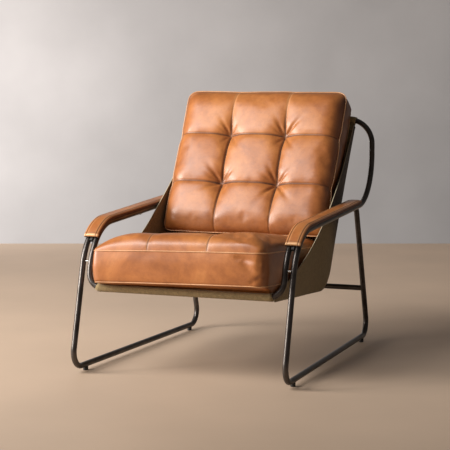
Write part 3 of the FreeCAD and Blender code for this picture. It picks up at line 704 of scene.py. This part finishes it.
# From the front hem round its rail, under the seat and up the back, then round the top rail to its hem.
rows = hem_rows(np.linspace(HEM_START + HEM_ALLOWANCE, HEM_START, 6))
rows += sleeve_rows(front_rail, "front", sleeve_turns, -seat_back, -seat_up)
for distance in (*plain_steps, *eased_steps):
    share_along = distance / canvas_run
    half = panel_edge(share_along)
    row = []
    for share in widths:
        ripple = noise.noise(Vector((share * 2.2, distance * 5.0, 3.0)))
        slack = -PANEL_SLACK * (0.5 + 0.5 * ripple) * (1 - share ** 2)
        point = on_canvas(distance, slack * min(1, swell(share_along) * 2) + behind_rail(distance))
        row.append((share * half, point.y, point.z))
    rows.append(row)
rows += sleeve_rows(top_rail, "top", sleeve_turns[::-1], back_up, -back_forward)
rows += hem_rows(canvas_run - np.linspace(HEM_START, HEM_START + HEM_ALLOWANCE, 6))
flat_rows = []
length = 0.0
middle = len(widths) // 2
for before, row in zip(rows[:1] + rows, rows):
    length += math.dist(row[middle], before[middle])
    flat_rows.append([(share * PANEL_HALF_WIDTH, length) for share in widths])
panel = sheet_piece("sling_panel", rows, flat_rows)
thicken(panel)
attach(panel, "root")
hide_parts("sling_seat", "sling_back")

# ---- Wings ----
# Side pieces of the same canvas, sewn along the panel's edges from the front rail to the top rail.
# Their free edges hang in a curve beside the cushions, which push them out a little.
EDGE_SAG = 0.080
EDGE_BULGE = 0.017
EDGE_SETBACK = 0.017
EDGE_RISE = 0.006
EDGE_DROP = 0.026
EDGE_STAND_OFF = 0.008
SEAM_FLANGE = 0.004
WING_GAP = 0.0006
WING_BELLY = 0.004
WING_RIPPLE = 0.0015
# Painted shade on the wings' upper parts: how dark on each side, where it starts along the wing and how
# fast it comes in.
WING_PAINTED_SHADE = {"left": 0.95, "right": 0.1}
PAINTED_SHADE_START = 0.54
PAINTED_SHADE_EASE = 0.13
edge_front = front_rail + side_view(EDGE_SETBACK, EDGE_RISE)
edge_top = top_rail - back_up * EDGE_DROP + back_forward * EDGE_STAND_OFF
wing_run = canvas_run - EDGE_DROP - EDGE_SETBACK
wing_shares = np.linspace(0, 1, 90)
wing_heights = np.linspace(0, 1, 34)
for side, sign in SIDES.items():
    rows = []
    flat_rows = []
    for share in wing_shares:
        distance = EDGE_SETBACK + wing_run * share
        foot = on_canvas(distance, behind_rail(distance) - SEAM_FLANGE)
        foot.x = panel_edge(distance / canvas_run) + CANVAS / 2 + WING_GAP
        edge = edge_front + (edge_top - edge_front) * share - Vector((0, 0, EDGE_SAG * swell(share)))
        edge.x = PANEL_HALF_WIDTH + EDGE_BULGE * swell(share) - CANVAS / 2
        row = []
        for height in wing_heights:
            point = foot.lerp(edge, height)
            belly = WING_BELLY * swell(height) * swell(share)
            ripple = WING_RIPPLE * noise.noise(Vector((share * 7, height * 2, sign * 9.0))) * swell(share)
            row.append((sign * (point.x + belly + ripple), point.y, point.z))
        rows.append(row)
        flat_rows.append([(distance, height * (edge - foot).length) for height in wing_heights])
    wing = sheet_piece(f"sling_wing_{side}", rows, flat_rows)
    # Painted shade: the upper part of each wing is darkened towards black, almost fully on the sitter's
    # left and slightly on the right.
    painted_canvas_shade = WING_PAINTED_SHADE[side] * smooth_step((wing_shares - PAINTED_SHADE_START) / PAINTED_SHADE_EASE)
    give_attribute(wing, "painted_canvas_shade", np.repeat(painted_canvas_shade, len(wing_heights)))
    thicken(wing)
    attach(wing, "root")
    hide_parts(f"sling_side_{side}")

# ---- Seat cushion ----
# A leather cover round a foam block: three top panels, a plain boxing band and a bottom panel, with
# piped seams between them. It lies loose in the sling, with its front over the front rail.
CUSHION_VOXEL = 0.006
CUSHION_FRAMES = 20
SEAT_SEAM_X = 0.1018
SEAT_SEAM_DIP = 0.0022
SEAT_DIP_WIDTH = 0.020
SEAT_CREASES = ((0.0018, 0.0022), (0.0012, 0.012))
SEAT_WELT_LOW = 0.313
SEAT_WELT_HIGH = 0.417
SEAT_WELT_FALL = math.tan(math.radians(4.0))
SEAT_WELT_TILTS = {SEAT_WELT_LOW: 0.0095, SEAT_WELT_HIGH: 0.008}
SEAT_WELT_BOW = 0.0025
SEAT_TILT_HEIGHT = 0.37
SEAT_TILT_SPREAD = 0.09
SEAT_CORNERS = (0.024, 0.050)
SEAT_REAR_CORNER = 0.012
SEAT_CAP = 0.012
SEAT_CROWN_FRONT = 0.060
SEAT_CROWN_REAR = 0.012
SEAT_SIDE_ROLLS = (0.15, 0.07)
SEAT_FRONT_ROLL = 0.075
SEAT_FOOT_TUCK = 0.010
BOXING_BULGE_FRONT = 0.006
BOXING_BULGE_SIDE = 0.004
WELT_HOLD = 0.005
SEAM_HOLD = 0.004
SEAT_STITCH_LINE = 0.0034
WELT_RADIUS = 0.0019
LOOP_STEP = 0.006
CORNER_STEP = 0.003
# Folds in the boxing's front corners: both ends, measured from the front edge, then width and depth.
SEAT_FOLDS = (
    ((0.19, 0.0, 0.410), (0.288, 0.012, 0.390), 0.009, 0.006),
    ((0.215, 0.0, 0.400), (0.270, 0.005, 0.350), 0.012, 0.005),
    ((0.245, 0.0, 0.326), (0.290, 0.020, 0.356), 0.009, 0.005),
    ((-0.268, 0.010, 0.432), (-0.245, 0.026, 0.446), 0.006, 0.003),
)


def coordinates(piece):
    points = np.empty(len(piece.data.vertices) * 3)
    piece.data.vertices.foreach_get("co", points)
    return points.reshape(-1, 3)


def place_points(piece, points):
    piece.data.vertices.foreach_set("co", points.astype(np.float32).ravel())
    piece.data.update()


def normals_of(piece):
    values = np.empty(len(piece.data.vertices) * 3, np.float32)
    piece.data.vertex_normals.foreach_get("vector", values)
    return values.reshape(-1, 3).astype(float)


def foam_start(node, name, to_local):
    """An evenly meshed copy of a foam block, in the cushion's own axes."""
    mesh = bmesh.new()
    mesh.from_mesh(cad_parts[node].data)
    bmesh.ops.remove_doubles(mesh, verts=mesh.verts, dist=1e-5)
    mesh.transform(to_local)
    piece = new_piece(name, mesh)
    select_only(piece)
    piece.data.remesh_voxel_size = CUSHION_VOXEL
    bpy.ops.object.voxel_remesh()
    return piece


def snap_rows(values, seams):
    """Slides the nearest row of points onto each seam, and its neighbours part of the way."""
    moved = values.copy()
    for seam in seams:
        near = values[np.abs(values - seam) < CUSHION_VOXEL]
        counts, edges = np.histogram(near, bins=24)
        row = edges[np.argmax(counts)] + (edges[1] - edges[0]) / 2
        moved += (seam - row) * np.clip(1 - np.abs(values - row) / (4 * CUSHION_VOXEL), 0, 1)
    return moved


def rise(share):
    """A round shoulder: steep at its foot, level from one onwards."""
    return (1 - (1 - np.clip(share, 0, 1)) ** 2) ** 0.62


def draw_in_corner(across, ahead, corner_across, corner_ahead, radius):
    """Brings points beyond a corner's round back onto it; both axes run outwards."""
    out_across = np.maximum(across - corner_across + radius, 0)
    out_ahead = np.maximum(ahead - corner_ahead + radius, 0)
    excess = 1 - np.minimum(1, radius / np.maximum(np.hypot(out_across, out_ahead), 1e-9))
    return across - out_across * excess, ahead - out_ahead * excess


def groove(points, start, end, width, depth):
    """How deep a soft fold is at each point: a groove from start to end that fades at both."""
    start, end = np.array(start), np.array(end)
    run = end - start
    along = (points - start) @ run / (run @ run)
    away = np.linalg.norm(points - start - np.clip(along, 0, 1)[:, None] * run, axis=1)
    return depth * bell(away, width) * np.sin(np.pi * np.clip(along, 0.02, 0.98)) ** 0.6


def inflate(piece, sewn, pressure, slack, cap):
    """Swells the cover like stuffed leather, held where it is sewn, and caps how far it moves."""
    group = piece.vertex_groups.new(name="sewn")
    for index, weight in enumerate(sewn):
        if weight > 0.02:
            group.add([index], float(weight), "REPLACE")
    before = coordinates(piece)
    cloth = piece.modifiers.new("stuffing", "CLOTH")
    settings = cloth.settings
    settings.quality = 6
    settings.mass = 0.3
    settings.tension_stiffness = 15
    settings.compression_stiffness = 15
    settings.shear_stiffness = 8
    settings.bending_stiffness = 6.0
    settings.use_pressure = True
    settings.uniform_pressure_force = pressure
    settings.shrink_min = -slack
    settings.vertex_group_mass = "sewn"
    settings.effector_weights.gravity = 0
    cloth.point_cache.frame_start = 1
    cloth.point_cache.frame_end = CUSHION_FRAMES
    for step in range(1, CUSHION_FRAMES + 1):
        bpy.context.scene.frame_set(step)
    swollen = piece.evaluated_get(bpy.context.evaluated_depsgraph_get())
    move = coordinates(swollen) - before
    length = np.linalg.norm(move, axis=1, keepdims=True)
    piece.modifiers.remove(cloth)
    bpy.context.scene.frame_set(1)
    place_points(piece, before + move * np.minimum(1, cap / np.maximum(length, 1e-9)))


def refine(piece, smoothing):
    """Evens out the cover and halves its faces."""
    select_only(piece)
    even = piece.modifiers.new("even", "SMOOTH")
    even.factor = 0.5
    even.iterations = smoothing
    bpy.ops.object.modifier_apply(modifier="even")
    finer = piece.modifiers.new("finer", "SUBSURF")
    finer.levels = finer.render_levels = 1
    bpy.ops.object.modifier_apply(modifier="finer")
    piece.data.shade_smooth()


def clouds(points, scale, seed):
    """Smooth noise at each point, from -1 to 1."""
    shift = Vector((seed, seed * 2, seed * 3))
    return np.array([noise.noise(Vector(point) * scale + shift) for point in points])


def rounded_loop(corners, radii):
    """Points all round a closed flat outline of (a, b) corners, each rounded by its radius."""
    points = []
    count = len(corners)
    for index, (corner, radius) in enumerate(zip(corners, radii)):
        here = Vector(corner)
        back = (Vector(corners[index - 1]) - here).normalized()
        ahead = (Vector(corners[(index + 1) % count]) - here).normalized()
        turn = math.pi - back.angle(ahead)
        reach = radius * math.tan(turn / 2)
        centre = here + (back + ahead).normalized() * (radius / math.cos(turn / 2))
        start, end = here + back * reach, here + ahead * reach
        for share in np.linspace(0, 1, max(2, int(radius * turn / CORNER_STEP))):
            points.append(centre + (start - centre).lerp(end - centre, share).normalized() * radius)
    loop = []
    for here, after in zip(points, points[1:] + points[:1]):
        parts = max(1, int((after - here).length / LOOP_STEP))
        loop += [tuple(here.lerp(after, part / parts)) for part in range(parts)]
    return loop


def surface_tree(piece):
    mesh = bmesh.new()
    mesh.from_mesh(piece.data)
    tree = BVHTree.FromBMesh(mesh)
    mesh.free()
    return tree


def welt(name, places, surface, material, radius=WELT_RADIUS, lift=0.4):
    """Piping along a closed loop of places, laid on the cushion's surface."""
    tree = surface_tree(surface)
    count = len(places)
    laid = []
    for place in places:
        near, out, _, _ = tree.find_nearest(Vector(place))
        laid.append(near + out * radius * lift)
    for _ in range(3):
        laid = [(laid[index - 1] + laid[index] * 2 + laid[(index + 1) % count]) / 4
                for index in range(count)]
    rings = []
    for index, here in enumerate(laid):
        along = (laid[(index + 1) % count] - laid[index - 1]).normalized()
        _, out, _, _ = tree.find_nearest(here)
        side = along.cross(out).normalized()
        out = side.cross(along)
        rings.append([here + (side * math.cos(turn) + out * math.sin(turn)) * radius
                      for turn in np.linspace(0, 2 * math.pi, 9)[:-1]])
    piece = strip_mesh(name, rings, looped=True)
    piece.data.materials.append(material)
    return piece


seat_low, seat_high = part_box("seat_cushion")
front_y = seat_low.y
seat = foam_start("seat_foam", "seat_leather", Matrix.Identity(4))
points = coordinates(seat)
points[:, 0] = snap_rows(points[:, 0], (-SEAT_SEAM_X, SEAT_SEAM_X))
place_points(seat, points)
facing = normals_of(seat)
x, y, z = points.T


def seat_welt_height(x, y, height):
    """How high a welt runs: it falls a little towards the back and sits lower on the sitter's right."""
    across = x / seat_high.x
    level = height + SEAT_WELT_TILTS[height] * across - SEAT_WELT_BOW * across ** 2
    return level - (y - front_y) * SEAT_WELT_FALL


# The block is tilted and domed to the cover's form, and its foot and corners are drawn in. Here x, y and z
# are columns of the points, and change with them.
tilt = seat_welt_height(x, front_y, SEAT_WELT_HIGH) - SEAT_WELT_HIGH
points[:, 2] += tilt * bell(z - SEAT_TILT_HEIGHT, SEAT_TILT_SPREAD)
plane = seat_welt_height(x, y, SEAT_WELT_HIGH)
from_seam = np.abs(np.abs(x) - SEAT_SEAM_X)
back_share = np.clip((y - front_y) / (seat_high.y - front_y), 0, 1)
crown = SEAT_CROWN_FRONT + (SEAT_CROWN_REAR - SEAT_CROWN_FRONT) * back_share
side_roll = np.interp(x, (-0.05, 0.05), SEAT_SIDE_ROLLS)
shoulders = rise((seat_high.x - np.abs(x)) / side_roll) * rise((y - front_y - 0.003) / SEAT_FRONT_ROLL)
dome = plane + crown * shoulders - SEAT_SEAM_DIP * bell(from_seam, SEAT_DIP_WIDTH) * shoulders
on_top = smooth_step((z - plane) / 0.006) * (facing[:, 2] > 0.05)
points[:, 2] += (dome - z) * on_top
low_plane = seat_welt_height(x, y, SEAT_WELT_LOW)
below = np.clip((low_plane - points[:, 2]) / 0.05, 0, 1)
points[:, 0] -= np.sign(x) * SEAT_FOOT_TUCK * below ** 2 * smooth_step((np.abs(x) - 0.2) / 0.09)
corner = np.where(x > 0, SEAT_CORNERS[1], SEAT_CORNERS[0])
wide, ahead = draw_in_corner(np.abs(points[:, 0]), -points[:, 1],
                             seat_high.x + 0.001, -front_y - 0.001, corner)
points[:, 0], points[:, 1] = np.sign(x) * wide, -ahead
side_share = smooth_step(np.abs(facing[:, 0]) * 2 - 0.3)
front_share = smooth_step(-facing[:, 1] * 2 - 0.3)
between = np.sin(np.pi * np.clip((points[:, 2] - low_plane) / (plane - low_plane), 0, 1))
points[:, 1] -= BOXING_BULGE_FRONT * between * front_share
points[:, 0] += np.sign(x) * BOXING_BULGE_SIDE * between * side_share
place_points(seat, points)

# It is stuffed while it is held along its welts, its top seams, its underside and its rear.
on_band = np.maximum(side_share, front_share) > 0.1
high_welt = bell(z - plane, WELT_HOLD) * on_band
low_welt = bell(z - low_plane, WELT_HOLD) * on_band
top_seams = 0.7 * bell(from_seam, SEAM_HOLD) * (facing[:, 2] > 0.2)
under = ((facing[:, 2] < -0.5) | (facing[:, 1] > 0.6)).astype(float)
sewn = np.maximum.reduce([high_welt, low_welt, top_seams, under])
inflate(seat, sewn, pressure=2.5, slack=0.0, cap=SEAT_CAP)
refine(seat, smoothing=9)

# Creases sink along the two top seams, the leather puckers beside them, and folds run into the corners.
points = coordinates(seat)
facing = normals_of(seat)
x, y, z = points.T
from_seam = np.abs(np.abs(x) - SEAT_SEAM_X)
above_welt = smooth_step((z - seat_welt_height(x, y, SEAT_WELT_HIGH)) / 0.006)
top_share = above_welt * smooth_step(facing[:, 2] * 3)
pucker = 0.0012 * clouds(points, 38.0, 2.0) * bell(from_seam, 0.016)
crease = sum(depth * bell(from_seam, width) for depth, width in SEAT_CREASES)
crease *= np.interp(y - front_y, (0.0, 0.04, 0.12, 0.3), (0.55, 0.7, 0.45, 0.4))
soft = 0.0022 * clouds(points, 6.0, 7.0) + 0.0008 * clouds(points * (1, 1, 2.2), 16.0, 11.0)
free = np.where((facing[:, 2] < -0.5) | (facing[:, 1] > 0.6), 0.0, 1.0)
folds = sum(groove(points - (0, front_y, 0), *fold) for fold in SEAT_FOLDS)
points += facing * ((pucker - crease) * top_share + soft * free - folds)[:, None]
place_points(seat, points)
# Painted shade darkens the creases of the top seams and the side boxing, and a pale line beside each seam
# stands for wear and a painted highlight.
painted_boxing_shade = 0.4 * smooth_step(np.abs(facing[:, 0]) * 2.5 - 1.2)
give_attribute(seat, "seam", np.maximum(0.9 * top_share * bell(from_seam, 0.0022), painted_boxing_shade))
give_attribute(seat, "wear_and_highlight", top_share * bell(from_seam - SEAT_STITCH_LINE, 0.0015))
seat.data.materials.append(tan_leather)
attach(seat, "root")
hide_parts("seat_cushion", "seat_foam")

seat_half = seat_high.x - 0.001
seat_rear_half = seat_half - 0.012
seat_rear_y = seat_high.y - 0.02
plan = rounded_loop([(-seat_half, front_y + 0.004), (seat_half, front_y + 0.004),
                     (seat_rear_half, seat_rear_y), (-seat_rear_half, seat_rear_y)],
                    [*SEAT_CORNERS, SEAT_REAR_CORNER, SEAT_REAR_CORNER])
# The piping is a paler copy of the tan leather: partly wear on the welts and partly a painted highlight
# along them.
piping = leather_finish("piping_leather", (0.56, 0.26, 0.105), (0.70, 0.36, 0.16), (0.80, 0.46, 0.24))
for level, height in (("high", SEAT_WELT_HIGH), ("low", SEAT_WELT_LOW)):
    loop = [(a, b, seat_welt_height(a, b, height)) for a, b in plan]
    cord = welt(f"seat_welt_{level}", loop, seat, piping)
    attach(cord, "root")

# ---- Back cushion ----
# A boxed leather cushion over foam, sewn into nine pillows by two seams each way and pulled in where
# they cross. It leans on the sling, with its foot on the seat cushion.
BACK_SEAM_X = 0.102
BACK_SEAMS_UP = (-0.142, -0.327)
BACK_EDGE_HALF = 0.300
BACK_REAR_HALF = 0.2835
BACK_REAR_SEAM = 0.008
BACK_TOP = 0.047
BACK_EDGE_SEAM = 0.134
BACK_TOP_SEAM = 0.118
BACK_CROWN = 0.179
BACK_VALLEY = 0.007
BACK_VALLEY_WIDTHS = (0.022, 0.018)
BACK_TUFT = 0.017
BACK_TUFT_REACH = 0.036
BACK_SIDE_ROLL = 0.06
BACK_TOP_ROLL = 0.09
BACK_FOOT_ROLL = 0.07
BACK_CREASES = ((0.0075, 0.0024), (0.0030, 0.010))
BACK_NIP = 0.004
BACK_FOOT_CORNER = 0.035
BACK_TOP_CORNER = 0.042
BACK_CAP = 0.007
BACK_STITCH_LINE = 0.0035
BACK_WELT_RADIUS = 0.0018
# Folds that run out from each tuft: the tuft's side and row, then each fold's direction in degrees, and
# its reach and depth in millimetres.
TUFT_FOLDS = (
    (-1, 0, ((125, 50, 6), (150, 36, 4), (62, 32, 3), (-50, 42, 5), (-125, 32, 3))),
    (1, 0, ((47, 62, 9), (120, 50, 7), (148, 40, 4), (-50, 46, 6), (-118, 36, 4))),
    (-1, 1, ((132, 60, 7), (155, 56, 5), (50, 46, 7), (-155, 60, 5), (-60, 36, 4))),
    (1, 1, ((118, 50, 7), (150, 50, 4), (45, 48, 7), (-45, 56, 8), (-128, 56, 7))),
)
MILLIMETRE = 0.001
# The cushion's own axes: across, up along the sling's back, and out of it, from the top rail.
to_world = Matrix(((1, 0, 0, 0), (0, back_up.y, back_forward.y, top_rail.y),
                   (0, back_up.z, back_forward.z, top_rail.z), (0, 0, 0, 1)))
back = foam_start("back_foam", "back_leather", to_world.inverted())
points = coordinates(back)
points[:, 0] = snap_rows(points[:, 0], (-BACK_SEAM_X, BACK_SEAM_X))
points[:, 1] = snap_rows(points[:, 1], BACK_SEAMS_UP)
across, up, out = points.T
back_foot = up[out > BACK_EDGE_SEAM - 0.01].min()
back_heel = up[out < 0.02].min()


def from_seams(across, up):
    """How far points are from the nearer upright seam and from the nearer level seam."""
    from_levels = [np.abs(up - seam) for seam in BACK_SEAMS_UP]
    return np.abs(np.abs(across) - BACK_SEAM_X), np.minimum(*from_levels)


def seam_pulls(across, up):
    """How hard the upright and the level seams are drawn in: most at the tufts, least at the edges."""
    upright_pull = np.interp(up, (-0.49, -0.44, -0.37, -0.327, -0.142, -0.09, -0.03, 0.04),
                             (0.3, 0.5, 0.9, 1.0, 1.0, 0.7, 0.3, 0.1))
    level_pull = np.interp(np.abs(across), (0.0, 0.06, 0.102, 0.15, 0.29), (0.5, 0.55, 0.9, 0.6, 0.45))
    return upright_pull, level_pull


def drawn(upright_width, level_width):
    """The seams' pull, fading over a width to each side of them."""
    return np.maximum(upright_pull * bell(upright, upright_width), level_pull * bell(level, level_width))


# The block is shaped into pillows between valleys and tufts, rolled over at its edges and nipped in.
facing = normals_of(back)
upright, level = from_seams(across, up)
upright_pull, level_pull = seam_pulls(across, up)
tuft = np.exp(-(upright ** 2 + level ** 2) / BACK_TUFT_REACH ** 2)
side_roll = rise((BACK_EDGE_HALF - np.abs(across)) / BACK_SIDE_ROLL)
roll = side_roll * rise((BACK_TOP - up) / BACK_TOP_ROLL) * rise((up - back_foot) / BACK_FOOT_ROLL)
edge = BACK_EDGE_SEAM + (BACK_TOP_SEAM - BACK_EDGE_SEAM) * smooth_step((up - BACK_TOP + 0.06) / 0.06)
full = BACK_CROWN - BACK_VALLEY * drawn(*BACK_VALLEY_WIDTHS) - BACK_TUFT * tuft
front = smooth_step((out - 0.105) / 0.025) * smooth_step(facing[:, 2] * 4)
nip = BACK_NIP * bell(level, 0.022) * (np.abs(across) / BACK_EDGE_HALF) ** 8
points[:, 2] += (edge + (full - edge) * roll - out) * front
points[:, 0] -= np.sign(across) * nip * smooth_step((out - 0.05) / 0.08)
foot_line = back_heel + (back_foot - back_heel) * np.clip(out / BACK_EDGE_SEAM, 0, 1.3)
wide, down = draw_in_corner(np.abs(points[:, 0]), -points[:, 1],
                            BACK_EDGE_HALF, -foot_line, BACK_FOOT_CORNER)
points[:, 0], points[:, 1] = np.sign(across) * wide, -down
place_points(back, points)

# It is stuffed while it is held along its rim, its seams, its rear, its foot and its crest.
facing = normals_of(back)
across, up, out = points.T
rim = bell(out - BACK_EDGE_SEAM, WELT_HOLD) * (np.abs(across) > 0.285) * (up < 0.0)
rear = (out < 0.02).astype(float)
seams = drawn(SEAM_HOLD, SEAM_HOLD) * (out > 0.12)
foot = (facing[:, 1] < -0.6).astype(float)
crest = smooth_step((up - 0.005) / 0.025)
sewn = np.maximum.reduce([rim, rear, seams, foot, crest])
inflate(back, sewn, pressure=2.0, slack=0.002, cap=BACK_CAP)
refine(back, smoothing=5)

# Creases sink along the seams, with puckers beside them and a star of folds round each tuft.
points = coordinates(back)
facing = normals_of(back)
across, up, out = points.T
upright, level = from_seams(across, up)
upright_pull, level_pull = seam_pulls(across, up)
front = smooth_step((out - 0.11) / 0.02) * smooth_step(facing[:, 2] * 2.5)
crease = sum(depth * drawn(width, width) for depth, width in BACK_CREASES)
pucker = 0.0014 * clouds(points, 34.0, 4.0) * drawn(0.020, 0.020)
star = np.zeros(len(points))
for sign, row, folds in TUFT_FOLDS:
    beside = across - sign * BACK_SEAM_X
    above = up - BACK_SEAMS_UP[row]
    away = np.hypot(beside, above)
    turn = np.arctan2(above, beside)
    for degrees, reach, deep in folds:
        swing = (turn - math.radians(degrees) + math.pi) % (2 * math.pi) - math.pi
        fold = bell(np.abs(swing) * away, 0.0025 + 0.11 * away) * bell(away, reach * MILLIMETRE)
        star += deep * MILLIMETRE * fold * smooth_step(away / 0.010)
soft = 0.0024 * clouds(points, 6.0, 17.0) + 0.0007 * clouds(points, 18.0, 23.0)
free = np.where(out < 0.02, 0.0, 1.0)
points += facing * (front * (pucker - crease - star) + soft * free)[:, None]
place_points(back, points)

# The leather takes painted shade down in its seams and folds, less at the tufts' centres, towards its foot
# and on its boxing, most at the boxing's top, and is paler along its stitching for wear and a painted
# highlight.
upright_shade = np.interp(up, (-0.49, -0.44, -0.37, -0.327, -0.142, -0.10, -0.06, 0.04),
                          (0.2, 0.45, 0.95, 1.0, 1.0, 0.55, 0.12, 0.0))
level_shade = np.interp(np.abs(across), (0.0, 0.05, 0.102, 0.14, 0.29), (0.6, 0.65, 0.85, 0.65, 0.4))
shade = np.maximum(upright_shade * bell(upright, 0.0026), level_shade * bell(level, 0.0028))
shade *= 1.7 - 1.1 * np.exp(-(upright ** 2 + level ** 2) / 0.006 ** 2)
shade = front * (shade + 30 * star + 0.16 * smooth_step((-0.37 - up) / 0.11))
painted_boxing_shade = smooth_step(np.abs(facing[:, 0]) * 2.5 - 1.2) * (0.5 + 0.35 * smooth_step((up + 0.05) / 0.06))
give_attribute(back, "seam", np.clip(np.maximum(shade, painted_boxing_shade), 0, 1))
stitched = np.interp(up, (-0.36, -0.142, -0.05, 0.0), (0.3, 0.3, 1.0, 1.3))
give_attribute(back, "wear_and_highlight", front * stitched * bell(upright - BACK_STITCH_LINE, 0.0018))
back.data.transform(to_world)
back.data.update()
back.data.materials.append(tan_leather)
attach(back, "root")
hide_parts("back_cushion", "back_foam")
back_corners = [BACK_FOOT_CORNER, BACK_FOOT_CORNER, BACK_TOP_CORNER, BACK_TOP_CORNER]
for name, half, depth, lift in (("front", BACK_EDGE_HALF, BACK_EDGE_SEAM, 1.0),
                                ("rear", BACK_REAR_HALF, BACK_REAR_SEAM, 0.3)):
    outline = rounded_loop([(-half, back_foot), (half, back_foot),
                            (half, BACK_TOP - 0.002), (-half, BACK_TOP - 0.002)], back_corners)
    loop = [to_world @ Vector((a, b, depth)) for a, b in outline]
    cord = welt(f"back_welt_{name}", loop, back, piping, BACK_WELT_RADIUS, lift)
    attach(cord, "root")

# ---- Inside of the upholstery ----
# The foam blocks, and the plain solids of canvas and leather that the finished pieces above stand for.
# They keep the colours of what they are made of.
foam = plain_material("upholstery_foam", (0.72, 0.68, 0.55), roughness=0.95, mottle=0.06, scale=60.0)
finish_nodes(foam, "seat_foam", "back_foam", "arm_foam")
plain_canvas = plain_material("hidden_canvas", (0.26, 0.21, 0.13), roughness=0.9, mottle=0.06, scale=60.0)
finish_nodes(plain_canvas, "sling_")
plain_leather = plain_material("hidden_leather", (0.45, 0.18, 0.07), roughness=0.5, mottle=0.1, scale=20.0)
finish_nodes(plain_leather, "seat_cushion", "back_cushion", "arm_pad")
